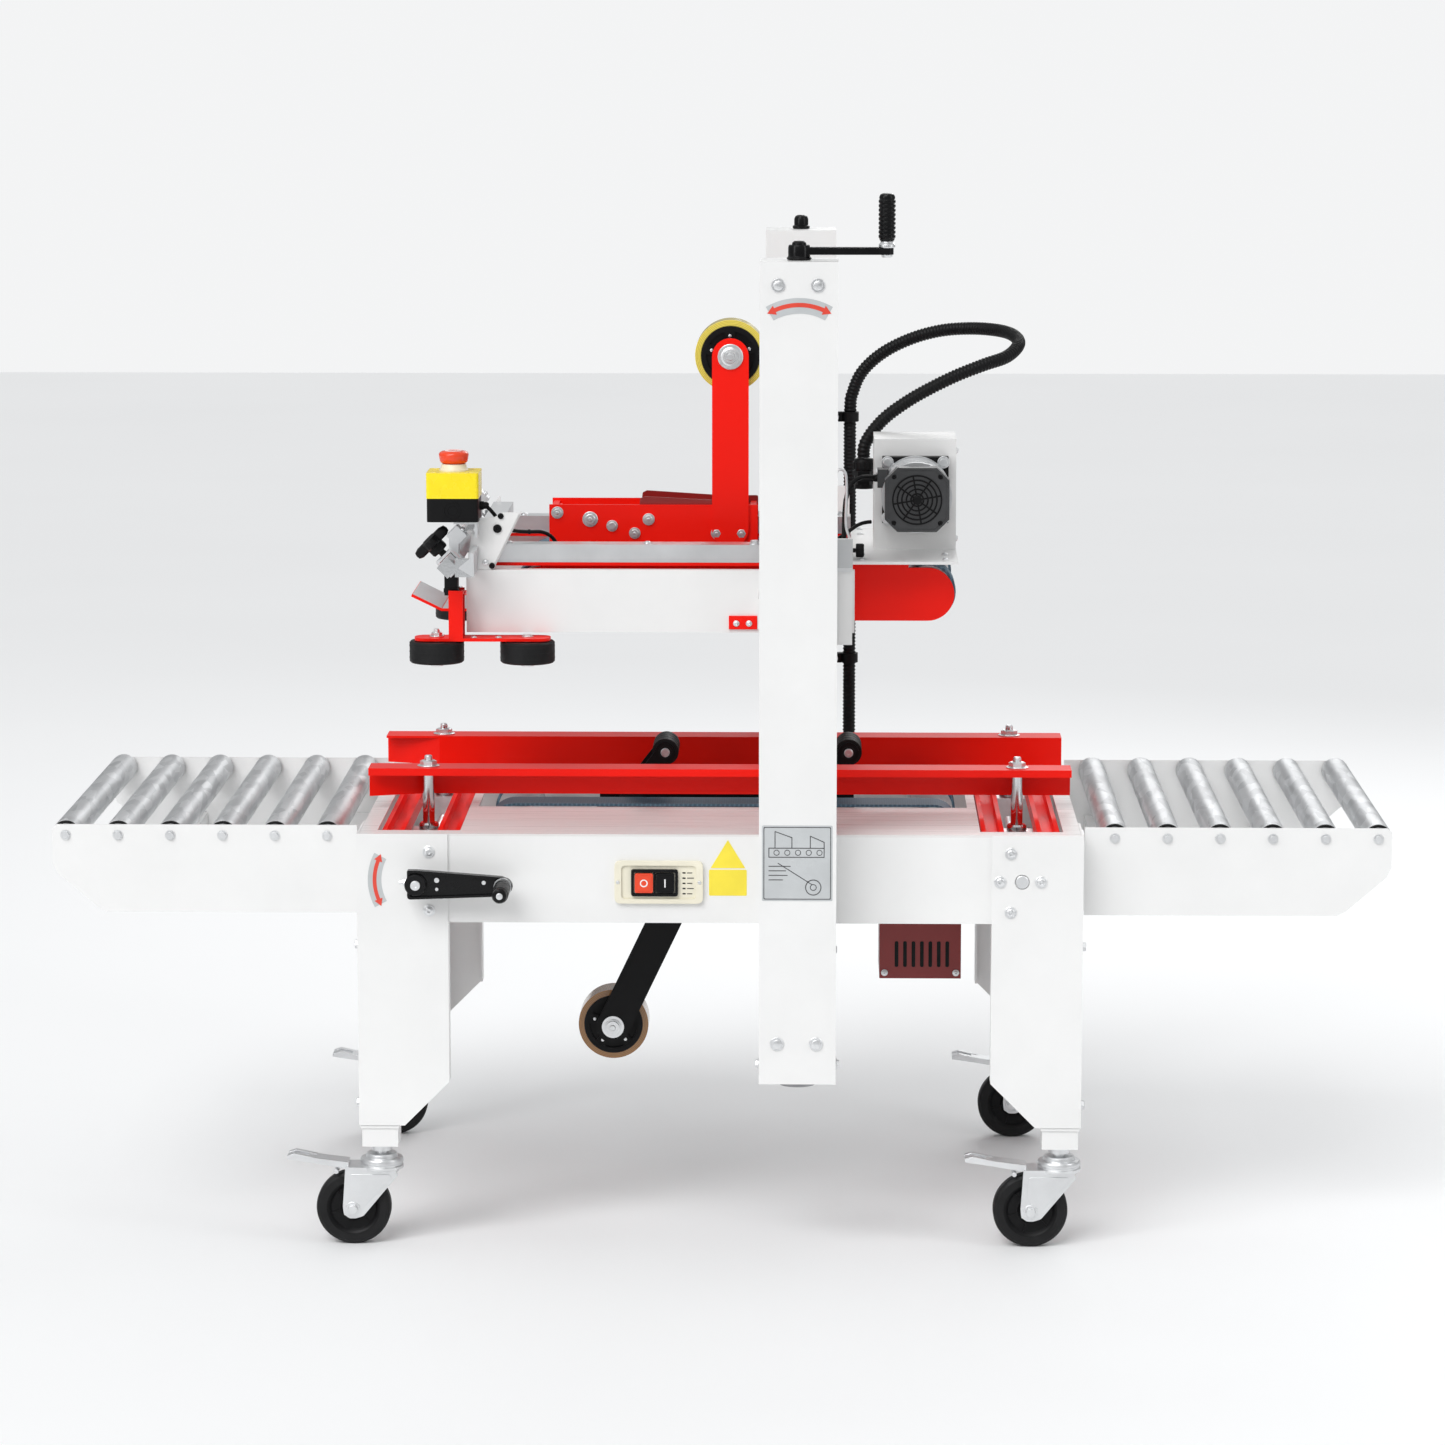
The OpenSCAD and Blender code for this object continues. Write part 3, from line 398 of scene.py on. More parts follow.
class Shape:
    """Collects faces in millimetres, with one material index each."""

    def __init__(self):
        self.points = []
        self.faces = []
        self.kinds = []

    def add(self, points, faces, kind=0, place=None):
        first = len(self.points)
        place = place or Matrix.Identity(4)
        flip = place.to_3x3().determinant() < 0
        self.points += [place @ Vector(p) for p in points]
        for f in faces:
            loop = [first + i for i in f]
            self.faces.append(loop[::-1] if flip else loop)
            self.kinds.append(kind)
        return self

    def lathe(self, profile, place, kind=0, sides=48):
        """Turns (radius, height) points round local Z."""
        points = []
        for s in range(sides):
            a = math.radians(360 * s / sides)
            points += [(r * math.cos(a), r * math.sin(a), h) for r, h in profile]
        n = len(profile)
        faces = []
        for s in range(sides):
            t = (s + 1) % sides
            for i in range(n - 1):
                faces.append((s * n + i, t * n + i, t * n + i + 1, s * n + i + 1))
        return self.add(points, faces, kind, place)

    def prism(self, outline, low, high, place, kind=0):
        """Extrudes a closed outline, given anticlockwise, along local Z."""
        n = len(outline)
        points = [(x, y, low) for x, y in outline] + [(x, y, high) for x, y in outline]
        faces = [list(range(n))[::-1], list(range(n, 2 * n))]
        faces += [(i, (i + 1) % n, n + (i + 1) % n, n + i) for i in range(n)]
        return self.add(points, faces, kind, place)

    def block(self, low, high, kind=0, place=None):
        outline = [(low[0], low[1]), (high[0], low[1]), (high[0], high[1]), (low[0], high[1])]
        return self.prism(outline, low[2], high[2], place or Matrix.Identity(4), kind)

    def ring(self, outer, inner, low, high, place, kind=0, sides=48):
        profile = [(inner, low), (outer, low), (outer, high), (inner, high), (inner, low)]
        return self.lathe(profile, place, kind, sides)

    def tube(self, path, radius, kind=0, sides=12, ripple=None):
        """Sweeps a round section along a path, with an optional radius for each point."""
        path = [Vector(p) for p in path]
        count = len(path)
        tangents = [(path[min(i + 1, count - 1)] - path[max(i - 1, 0)]).normalized() for i in range(count)]
        side = tangents[0].orthogonal().normalized()
        points = []
        for i, (p, t) in enumerate(zip(path, tangents)):
            side = (side - t * side.dot(t)).normalized()
            other = t.cross(side)
            r = ripple[i] if ripple else radius
            for s in range(sides):
                a = 2 * math.pi * s / sides
                points.append(p + r * (math.cos(a) * side + math.sin(a) * other))
        faces = []
        for i in range(count - 1):
            for s in range(sides):
                n = (s + 1) % sides
                faces.append((i * sides + s, i * sides + n, (i + 1) * sides + n, (i + 1) * sides + s))
        faces.append(list(range(sides))[::-1])
        faces.append([(count - 1) * sides + s for s in range(sides)])
        return self.add(points, faces, kind)

    def build(self, name, body, looks, slot, bevel=0.0, replaces=(), sharp=32):
        mesh = bpy.data.meshes.new(name)
        mesh.from_pydata([tuple(p * MM) for p in self.points], [], self.faces)
        for look in looks:
            mesh.materials.append(look)
        mesh.polygons.foreach_set("material_index", self.kinds)
        tidy = bmesh.new()
        tidy.from_mesh(mesh)
        bmesh.ops.remove_doubles(tidy, verts=tidy.verts, dist=1e-6)
        bmesh.ops.recalc_face_normals(tidy, faces=tidy.faces)
        tidy.to_mesh(mesh)
        tidy.free()
        mesh.shade_smooth()
        mesh.set_sharp_from_angle(angle=math.radians(sharp))
        piece = bpy.data.objects.new(name, mesh)
        bpy.context.scene.collection.objects.link(piece)
        if bevel:
            round_edges(piece, bevel)
        if body:
            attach(piece, body)
        if replaces:
            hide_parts(*replaces)
        return piece


def round_edges(piece, width, angle=35):
    bevel = piece.modifiers.new("edges", "BEVEL")
    bevel.width = width * MM
    bevel.segments = 2
    bevel.limit_method = "ANGLE"
    bevel.angle_limit = math.radians(angle)
    bevel.harden_normals = True
    bevel.use_clamp_overlap = True
    bevel.miter_outer = "MITER_ARC"


def rounded(outline, radius, steps=5):
    """The outline with every corner turned into an arc; radius is one number or one for each corner."""
    made = []
    count = len(outline)
    for i, corner in enumerate(outline):
        r = radius[i] if isinstance(radius, (list, tuple)) else radius
        corner = Vector(corner)
        before = Vector(outline[i - 1]) - corner
        after = Vector(outline[(i + 1) % count]) - corner
        if r <= 0:
            made.append(tuple(corner))
            continue
        half = before.angle(after) / 2
        reach = min(r / math.tan(half), before.length * 0.49, after.length * 0.49)
        start = corner + before.normalized() * reach
        end = corner + after.normalized() * reach
        for s in range(steps + 1):
            t = s / steps
            made.append(tuple(start * (1 - t) ** 2 + corner * (2 * t * (1 - t)) + end * t ** 2))
    return made


def turned(outline, degrees):
    """The outline turned about the local origin."""
    a = math.radians(degrees)
    return [(u * math.cos(a) - v * math.sin(a), u * math.sin(a) + v * math.cos(a)) for u, v in outline]


def box_outline(x0, x1, y0, y1):
    return [(x0, y0), (x1, y0), (x1, y1), (x0, y1)]


def stadium(p, q, r_p, r_q=None, steps=12):
    """Outline round two circles joined by straight sides, anticlockwise."""
    r_q = r_p if r_q is None else r_q
    p, q = Vector(p), Vector(q)
    d = q - p
    base = math.atan2(d.y, d.x)
    lean = math.asin(max(-1.0, min(1.0, (r_p - r_q) / d.length)))
    made = []
    for s in range(steps + 1):
        a = base - math.pi / 2 + lean + (math.pi - 2 * lean) * s / steps
        made.append((q.x + r_q * math.cos(a), q.y + r_q * math.sin(a)))
    for s in range(steps + 1):
        a = base + math.pi / 2 - lean + (math.pi + 2 * lean) * s / steps
        made.append((p.x + r_p * math.cos(a), p.y + r_p * math.sin(a)))
    return made


def spline(points, steps):
    """Smooth curve through the points."""
    points = [Vector(p) for p in points]
    last = len(points) - 1
    made = []
    for i in range(last):
        a, b = points[max(i - 1, 0)], points[i]
        c, d = points[i + 1], points[min(i + 2, last)]
        for s in range(steps):
            t = s / steps
            made.append(0.5 * (2 * b + (c - a) * t + (2 * a - 5 * b + 4 * c - d) * t ** 2
                               + (3 * b - a - 3 * c + d) * t ** 3))
    return made + [points[-1]]


def even_path(points, step):
    """The same curve with its points a fixed distance apart."""
    fine = spline(points, 24)
    made = [fine[0]]
    travelled = 0.0
    for p, q in zip(fine, fine[1:]):
        length = (q - p).length
        while travelled + length >= step:
            p = p.lerp(q, (step - travelled) / length)
            made.append(p)
            length = (q - p).length
            travelled = 0.0
        travelled += length
    return made


# ---------------------------------------------------------------- fasteners

OUT = {"front": (0, -1, 0), "rear": (0, 1, 0), "left": (-1, 0, 0), "right": (1, 0, 0), "up": (0, 0, 1),
       "down": (0, 0, -1)}


def dome_bolt(shape, at, out, r=7.0, kind=0, height=4.2):
    """Button-head screw on a washer."""
    place = axis_frame(at, OUT[out])
    shape.lathe([(0.1, 0), (r * 1.25, 0), (r * 1.3, 0.4), (r * 1.3, 1.0), (r * 1.2, 1.4), (r, 1.4),
                 (r, 2.0), (r * 0.92, height * 0.72), (r * 0.7, height * 0.93), (r * 0.42, height),
                 (r * 0.40, height - 1.6), (0.05, height - 2.0)], place, kind, 24)


def hex_bolt(shape, at, out, across=13.0, kind=0, height=5.5, stud=0.0, stud_r=4.0):
    """Hexagon head or nut on a washer, with an optional stud end standing out of it."""
    place = axis_frame(at, OUT[out] if isinstance(out, str) else out)
    corner = across / math.sqrt(3)
    shape.lathe([(0.1, 0), (corner * 1.28, 0), (corner * 1.32, 0.5), (corner * 1.32, 1.1),
                 (corner * 1.25, 1.5),
                 (0.1, 1.5)], place, kind, 24)
    flat = across / 2
    base = 1.5
    shape.prism([(corner * math.cos(math.radians(60 * i)), corner * math.sin(math.radians(60 * i)))
                 for i in range(6)], base, base + height * 0.86, place, kind)
    shape.lathe([(flat * 1.02, base + height * 0.86), (flat * 0.92, base + height), (0.1, base + height)],
                place, kind, 24)
    if stud:
        shape.lathe([(stud_r, base + height - 0.5), (stud_r, base + height + stud - 1),
                     (stud_r - 1, base + height + stud), (0.1, base + height + stud)], place, kind, 20)


def thread(shape, radius, start, end, place, kind=0, pitch=4.0, sides=28):
    """Screw thread shown as close-set rings of trapezoid section."""
    profile = [(0.1, start), (radius - 1.4, start)]
    z = start
    while z + pitch <= end:
        profile += [(radius - 1.4, z + 0.25 * pitch), (radius, z + 0.45 * pitch),
                    (radius, z + 0.8 * pitch), (radius - 1.4, z + pitch)]
        z += pitch
    profile += [(radius - 1.4, end), (0.1, end)]
    shape.lathe(profile, place, kind, sides)


# ---------------------------------------------------------------- paint for the CAD nodes that stay


def repaint(name, looks, choose=None, bevel=0.9):
    """Gives a CAD node its materials; choose(a face's centre in mm) returns the index of one of them."""
    piece = nodes[name]
    mesh = piece.data
    looks = looks if isinstance(looks, list) else [looks]
    mesh.materials.clear()
    for look in looks:
        mesh.materials.append(look)
    for polygon in mesh.polygons:
        polygon.material_index = choose(polygon.center / MM) if choose else 0
    mesh.shade_smooth()
    mesh.set_sharp_from_angle(angle=math.radians(30))
    if bevel:
        round_edges(piece, bevel, 40)
    return piece

def by_place(*rules):
    """choose function for repaint: the first rule that holds gives the material index, else 0."""
    def choose(p):
        for index, holds in rules:
            if holds(p):
                return index
        return 0
    return choose


def paint_bed():
    repaint("bed_frame", [WHITE, BLACK_PLASTIC, STEEL, GREY], by_place(
        # Painted shade: the frame's white inner faces near its ends, under the track slots, are given black
        # so that the slots read dark.
        (1, lambda p: 385 < abs(p.x) < 482 and 22 < abs(p.y) < 300 and p.z < 511 and abs(p.z - 500) > 20.1),
        (1, lambda p: abs(p.x + 250) < 16 and p.y > 338.4 or p.z > 514.3 and p.y > 350),
        (3, lambda p: p.y > 338.4),
        (2, lambda p: abs(abs(p.x) - 400) < 20.1 and abs(p.z - 500) < 20.1 and abs(p.y) < 337)))
    repaint("bed_top", BED_WHITE, bevel=0.6)
    repaint("outer_legs", WHITE, bevel=0.9)
    repaint("columns", WHITE, bevel=1.6)
    repaint("table_frames", [WHITE, ZINC], by_place(
        (1, lambda p: abs(p.y) < 280.9 and abs(p.z - 549.4) < 7)), bevel=0.8)
    repaint("guide_tracks", RED, bevel=0.7)
    repaint("leg_tubes", [WHITE, ZINC], by_place((1, lambda p: p.z < 136.9)), bevel=1.2)


def paint_drives():
    repaint("under_bed_drives", [MOTOR, SHADED_RED, STEEL, ALUMINIUM, CAST], by_place(
        # Painted shade: the red cover of the drive under the bed lies in the bed's shadow and takes the
        # darkened red.
        (1, lambda p: 214 < p.x < 328 and -101 < p.y < 20.5 and (
            p.z < 323.5 or p.y < -95.5 or p.x < 218.5 or p.x > 323.5)),
        (4, lambda p: p.y > 109 and p.x > 224 and p.z < 438.5 and p.y < 171 and p.x < 316),
        (3, lambda p: p.z > 490 and 60 < abs(p.y) < 114),
        (2, lambda p: p.z > 482 or p.z < 250 or p.y > 171)), bevel=0.5)
    for name in ("lower_belts", "upper_belts"):
        repaint(name, BELT, bevel=0.7)
    repaint("upper_drive_unit", [MOTOR, CAST, ALUMINIUM, STEEL, BLACK_PLASTIC], by_place(
        (4, lambda p: p.x < 221 and p.z > 925 and p.y < -100 and abs(p.z - 992.5) < 43 and
         math.hypot(p.x - 261, p.z - 992.5) > 43.5 or p.x < 209 and p.z > 925),
        (1, lambda p: -177.8 < p.y < -80.2 and p.z > 944),
        (4, lambda p: -80.1 < p.y < -60.9 and p.z > 944),
        (1, lambda p: -40.5 < p.y < 26.5 and p.z > 944),
        (3, lambda p: p.y > 26 and p.z > 880 or abs(p.y) < 40 and p.z < 945),
        (2, lambda p: p.z < 905)), bevel=0.5)


def paint_head():
    repaint("head_frame", [GREY, ALUMINIUM, CHROME, WHITE], by_place(
        (3, lambda p: 217.9 < abs(p.y) < 336 and p.x > 34 and 814 < p.z < 956),
        (2, lambda p: p.x < -340 and abs(p.y) < 301 and p.z > 886),
        (1, lambda p: 154 < abs(p.y) < 191 and 905 < p.z < 931)), bevel=1.0)
    repaint("head_covers", [WHITE, RED, BLACK_PLASTIC], by_place(
        (2, lambda p: 178 < p.x < 204.9 and p.y > 35 and 979 < p.z < 1022.5),
        (1, lambda p: 148.9 < abs(p.y) < 152.1 and p.z < 903),
        (1, lambda p: abs(p.y) < 71.5 and p.z < 902),
        (1, lambda p: p.y < -218.1 and 9 < p.x < 49)), bevel=1.0)
    repaint("upper_cartridge_frame", [RED, ZINC], by_place(
        (1, lambda p: abs(p.y) < 40.9 and p.z < 944 or abs(p.y) > 45.1 and p.z < 944 and abs(p.y) < 48.8
         and abs(p.x - 9) > 26 or p.z > 1120 and (p.y > -44.9 or p.y < -49.1))), bevel=0.8)
    repaint("lower_cartridge_frame", [BLACK, ZINC], by_place(
        (1, lambda p: p.z < 262 and (p.y > -44.9 or p.y < -49.1))), bevel=0.8)


def paint_movers():
    for side in ("front", "rear"):
        for end in ("left", "right"):
            repaint(f"{side}_{end}_caster_fork", ZINC, bevel=0.8)
            repaint(f"{side}_{end}_wheel", [TYRE, BLACK_PLASTIC], hub_or_tyre(side, end), bevel=0.6)
        repaint(f"{side}_guide_rail", [RED, CHROME, ZINC], by_place(
            (0, lambda p: p.z > 579 and abs(p.y) < 166 and not (
                abs(abs(p.x) - 400) < 9.5 and (p.z > 621.1 or p.z < 617.9) and abs(abs(p.y) - 142) < 9.5)),
            (1, lambda p: p.z > 534.2),
            (2, lambda p: True)), bevel=0.8)
        for i in (1, 2):
            repaint(f"{side}_press_roller_{i}", ROLLER_RUBBER, bevel=0.8)
    for end in ("infeed", "outfeed"):
        for i in range(1, 7):
            repaint(f"{end}_roller_{i}", GALVANISED, bevel=0.5)
    for level in ("upper", "lower"):
        for end in ("infeed", "outfeed"):
            repaint(f"{level}_{end}_arm", [BLACK, ROLLER_RUBBER], by_place(
                (1, lambda p: abs(p.y) < 35.6)), bevel=0.6)


def hub_or_tyre(side, end):
    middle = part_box(f"{side}_{end}_wheel")
    centre = (middle[0] + middle[1]) / 2 / MM

    def choose(p):
        return int(math.hypot(p.x - centre.x, p.z - centre.z) < HUB_R)
    return choose


# ---------------------------------------------------------------- fasteners on the frame


def frame_fasteners():
    bolts = Shape()
    for out, s in SIDES:
        for x in (-385, 385):
            for z in (459, 538):
                dome_bolt(bolts, (x, s * BED_FACE, z), out, 6.2)
        for x in (371, 425):
            dome_bolt(bolts, (x, s * BED_FACE, CROSS_Z), out, 6.2)
        for x in (77, 128):
            for z in (299, 1292):
                hex_bolt(bolts, (x, s * COLUMN_FACE, z), out, 12, height=2.5)
        for x in ROLLER_X:
            for side in (-1, 1):
                hex_bolt(bolts, (side * x, s * 284, ROLLER_Z), out, 9, height=3.2)
        hex_bolt(bolts, (53, s * COLUMN_Y, 263), "left", 10, height=3.4)
        hex_bolt(bolts, (154, s * COLUMN_Y, 263), "right", 10, height=3.4)
    bolts.build("frame_bolt_heads", "root", [ZINC], "zinc_steel", replaces=("frame_bolts",))


def roller_caps():
    for end, side in (("infeed", -1), ("outfeed", 1)):
        for i, x in enumerate(ROLLER_X):
            caps = Shape()
            for out, s in SIDES:
                place = axis_frame((side * x, s * 278.2, ROLLER_Z), OUT[out])
                caps.lathe([(6.4, 1.4), (9.5, 1.4), (10.2, 0.5), (14.6, 0.5), (15.4, 1.8), (17.4, 1.8),
                            (18.3, 1.2), (18.6, 0.3), (18.6, -2.0)], place, 0, 32)
                place = axis_frame((side * x, s * 268, ROLLER_Z), OUT[out])
                caps.ring(19.16, 18.6, -0.8, 0.8, place, 1, 32)
            caps.build(f"{end}_roller_{i + 1}_caps", f"{end}_roller_{i + 1}", [BLACK_PLASTIC, GALVANISED],
                       "black_plastic")


def bed_details():
    """A collar round each leg tube, and the two clamp bolts of each leg."""
    parts = Shape()
    for _, s in SIDES:
        for out, x in (("left", -1), ("right", 1)):
            parts.prism(rounded(box_outline(x * TUBE_X - 26, x * TUBE_X + 26, 162.5, 166.4), 1),
                        s * TUBE_Y - 26, s * TUBE_Y + 26, plane_frame("y"), 0)
            for z in (408, 193):
                hex_bolt(parts, (x * 481, s * TUBE_Y, z), out, 11, 1, 4)
    parts.build("leg_collars", "root", [WHITE, ZINC], "white_paint", bevel=1.0)


def caster_details(side, end):
    sx = -1 if end == "left" else 1
    sy = -1 if side == "front" else 1
    x, y = sx * TUBE_X, sy * TUBE_Y
    fork = Shape()
    up = upright(x, y)
    fork.lathe([(9, 124), (17.5, 124.2), (20.6, 122.5), (21.4, 118.6), (27.8, 118.0), (29.0, 115.5),
                (29.0, 112.4), (27.6, 110.6), (27.6, 108.8), (29.2, 107.6), (29.2, 103.9), (27, 103.2)],
               up, 0, 40)
    cheek = rounded([(20, 104), (22, 96), (-24, 40.5), (-34, 37.2), (-43, 37.2), (-50.5, 43), (-51.5, 54),
                     (-48, 104)], [1, 4, 8, 8, 8, 8, 6, 1])
    pressing = rounded([(12, 98), (14, 93), (-24, 52), (-38, 62), (-43, 70), (-41, 98)], 5)
    pedal = rounded([(-126.2, 116.5), (-126.2, 121.4), (-116, 124.9), (-92, 119.8), (-88, 118.8),
                     (-88, 117.4), (-116, 121.4)], 0.6)
    place = plane_frame("y", (x, y, 0))
    for out, s in SIDES:
        fork.prism(cheek, *sorted((s * 19.0, s * 19.8)), place, 0)
        fork.prism(pressing, *sorted((s * 19.8, s * 20.6)), place, 0)
        hex_bolt(fork, (x - WHEEL_TRAIL, y + s * 19.8, WHEEL_Z), out, 13, 0, 5.5, 0)
    fork.prism(pedal, -16, -7.2, place, 0)
    fork.prism(pedal, 7.2, 16, place, 0)
    fork.tube([(x - 60, y - 18.5, 101), (x - 60, y + 18.5, 101)], 3.2, 0, 12)
    fork.build(f"{side}_{end}_caster_fittings", f"{side}_{end}_caster_fork", [ZINC, STEEL], "zinc_steel",
               bevel=0.5)
    hub = Shape()
    for out, s in SIDES:
        place = axis_frame((x - WHEEL_TRAIL, y + s * 9, WHEEL_Z), OUT[out])
        hub.lathe([(15.2, 0.2), (17.5, 1.0), (19.5, 0.2)], place, 0, 40)
        hub.lathe([(29.8, 0.1), (31.5, 1.4), (33.6, 3.6), (35.8, 4.3)], place, 0, 48)
        for k in range(6):
            hub.prism(turned(box_outline(16, 31, -1.4, 1.4), 60 * k + 15), 0, 1.5, place, 0)
        hub.ring(12.8, 5.6, 5.4, 6.4, place, 1, 32)
    hub.build(f"{side}_{end}_wheel_hub", f"{side}_{end}_wheel", [BLACK_PLASTIC, ZINC], "wheel_rubber")


# ---------------------------------------------------------------- side guides and cranks


def guide_details(side, s):
    parts = Shape()
    for x in (-GUIDE_X, GUIDE_X):
        hex_bolt(parts, (x, s * GUIDE_Y, 621), "up", 20, 0, 6.5, 0)
        up = upright(x, s * GUIDE_Y)
        parts.lathe([(5.2, 627), (5.2, 634.5), (4.2, 635.8), (0.1, 635.8)], up, 0, 20)
        parts.lathe([(8.2, 535), (13.5, 535), (13.5, 541), (11.5, 543.5), (8.2, 543.5)], up, 1, 32)
        parts.lathe([(8.2, 617.8), (12.5, 617.8), (12.5, 612), (8.2, 612)], up, 0, 6)
        for dx in (-33, 33):
            hex_bolt(parts, (x + dx, s * GUIDE_Y, 534), "up", 11, 0, 4.5)
    parts.build(f"{side}_guide_fittings", f"{side}_guide_rail", [ZINC, CHROME], "zinc_steel")


def toothed(radius, teeth, depth):
    made = []
    for i in range(teeth):
        for share, r in ((0.0, radius - depth), (0.25, radius - depth), (0.42, radius), (0.78, radius)):
            a = 2 * math.pi * (i + share) / teeth
            made.append((r * math.cos(a), r * math.sin(a)))
    return made


def ribbed_grip(shape, place, length, kind, radius=11.0):
    """Round machine handle with moulded grip rings."""
    profile = [(0.1, 0), (radius * 0.72, 0), (radius * 0.86, 1.6)]
    z = 4.0
    while z < length - 9:
        profile += [(radius * 0.90, z), (radius, z + 1.2), (radius, z + 4.0), (radius * 0.90, z + 5.0)]
        z += 5.6
    profile += [(radius * 0.94, length - 5), (radius * 0.80, length - 1.4), (radius * 0.5, length),
                (0.1, length)]
    shape.lathe(profile, place, kind, 40)


def ring_prism(shape, outer, inner, low, high, place, kind=0):
    """Wall between two outlines that have the same number of points."""
    n = len(outer)
    points = [(x, y, z) for z in (low, high) for line in (outer, inner) for x, y in line]
    faces = []
    for i in range(n):
        j = (i + 1) % n
        faces += [(2 * n + i, 2 * n + j, 3 * n + j, 3 * n + i), (i, n + i, n + j, j),
                  (i, j, 2 * n + j, 2 * n + i), (n + i, 3 * n + i, 3 * n + j, n + j)]
    shape.add(points, faces, kind, place)


def width_crank():
    crank = Shape()
    along = plane_frame("y")
    tip = (-285, 498)
    screw = axis_frame((-GUIDE_X, 0, CROSS_Z), (0, 1, 0))
    thread(crank, 8, -338, 341.5, screw, 0, 5, 20)
    crank.lathe([(0.1, -366), (13, -366), (13.4, -363), (13.4, -348), (12, -345.2), (8.2, -345.2),
                 (8.2, -337)], screw, 0, 40)
    crank.prism([(u - GUIDE_X, CROSS_Z + v) for u, v in toothed(21.8, 18, 2.6)], 310, 316, along, 0)
    edge = [5, 3, 6, 8, 8, 6, 3, 3, 2]
    blade = rounded([(-411, 480.5), (-286, 485.2), (-277, 489), (-272, 495), (-272, 501), (-277, 507),
                     (-286, 510.8), (-399, 519.5), (-411, 519.5)], edge)
    crank.prism(blade, -374, -366, along, 1)
    inner = [(-408, 483.6), (-287, 488.2), (-279.4, 491), (-275, 496), (-275, 500), (-279.4, 505),
             (-287, 507.8), (-399, 516.4), (-408, 516.4)]
    ring_prism(crank, blade, rounded(inner, edge), -378, -374, along, 1)
    for x, z, r in ((-372, 506, 3.4), (-310, 503, 2.8), (-372, 494, 2.2)):
        place = axis_frame((x, -374, z), (0, -1, 0))
        crank.lathe([(0.1, 0), (r, 0), (r, 1.2), (0.1, 1.2)], place, 0, 20)
    crank.lathe([(0.1, 0), (5.4, 0), (5.4, 5), (3.2, 5.6), (3.2, 10), (0.1, 10)],
                axis_frame((-412.8, -357, 500), (-1, 0, 0)), 0, 6)
    face = axis_frame((-GUIDE_X, -375.6, CROSS_Z), (0, -1, 0))
    crank.lathe([(14.5, 0), (14.5, 3.2), (13.2, 4.6), (0.1, 4.6)], face, 1, 40)
    crank.lathe([(6.5, 4.6), (6.5, 6.6), (5.6, 7.4), (2.6, 7.4), (2.4, 5.6), (0.1, 5.6)], face, 0, 24)
    pin = axis_frame((tip[0], -375.6, tip[1]), (0, -1, 0))
    crank.lathe([(9.6, 0), (9.6, 3.0), (8.4, 6.0), (8.4, 7.4), (0.1, 7.4)], pin, 1, 32)
    grip = axis_frame((tip[0], -382, tip[1]), (0, -1, 0))
    ribbed_grip(crank, grip, 63.4, 1)
    cap = axis_frame((tip[0], -445.2, tip[1]), (0, -1, 0))
    crank.lathe([(0.1, 0), (4.4, 0), (4.4, 0.4), (3.6, 0.8), (0.1, 0.8)], cap, 0, 24)
    crank.lathe([(9.2, 0), (11.8, 0), (11.8, 3.6), (9.2, 3.6)], pin, 0, 28)
    crank.build("width_crank_handle", "width_crank", [ZINC, KNOB_PLASTIC], "zinc_steel", bevel=0.7,
                replaces=("width_crank",))


def right_screw():
    screw = Shape()
    along = plane_frame("y")
    thread(screw, 8, -338, 338, axis_frame((GUIDE_X, 0, CROSS_Z), (0, 1, 0)), 0, 5, 20)
    for s in (-1, 1):
        place = axis_frame((GUIDE_X, s * 338.2, CROSS_Z), (0, s, 0))
        screw.lathe([(8.8, 0), (8.8, 2.6), (7.6, 3.6), (0.1, 3.6)], place, 0, 24)
    screw.prism([(GUIDE_X + u, CROSS_Z + v) for u, v in toothed(21.8, 18, 2.6)], 310, 316, along, 0)
    screw.build("right_cross_screw", "right_width_screw", [ZINC], "zinc_steel",
                replaces=("right_width_screw",))


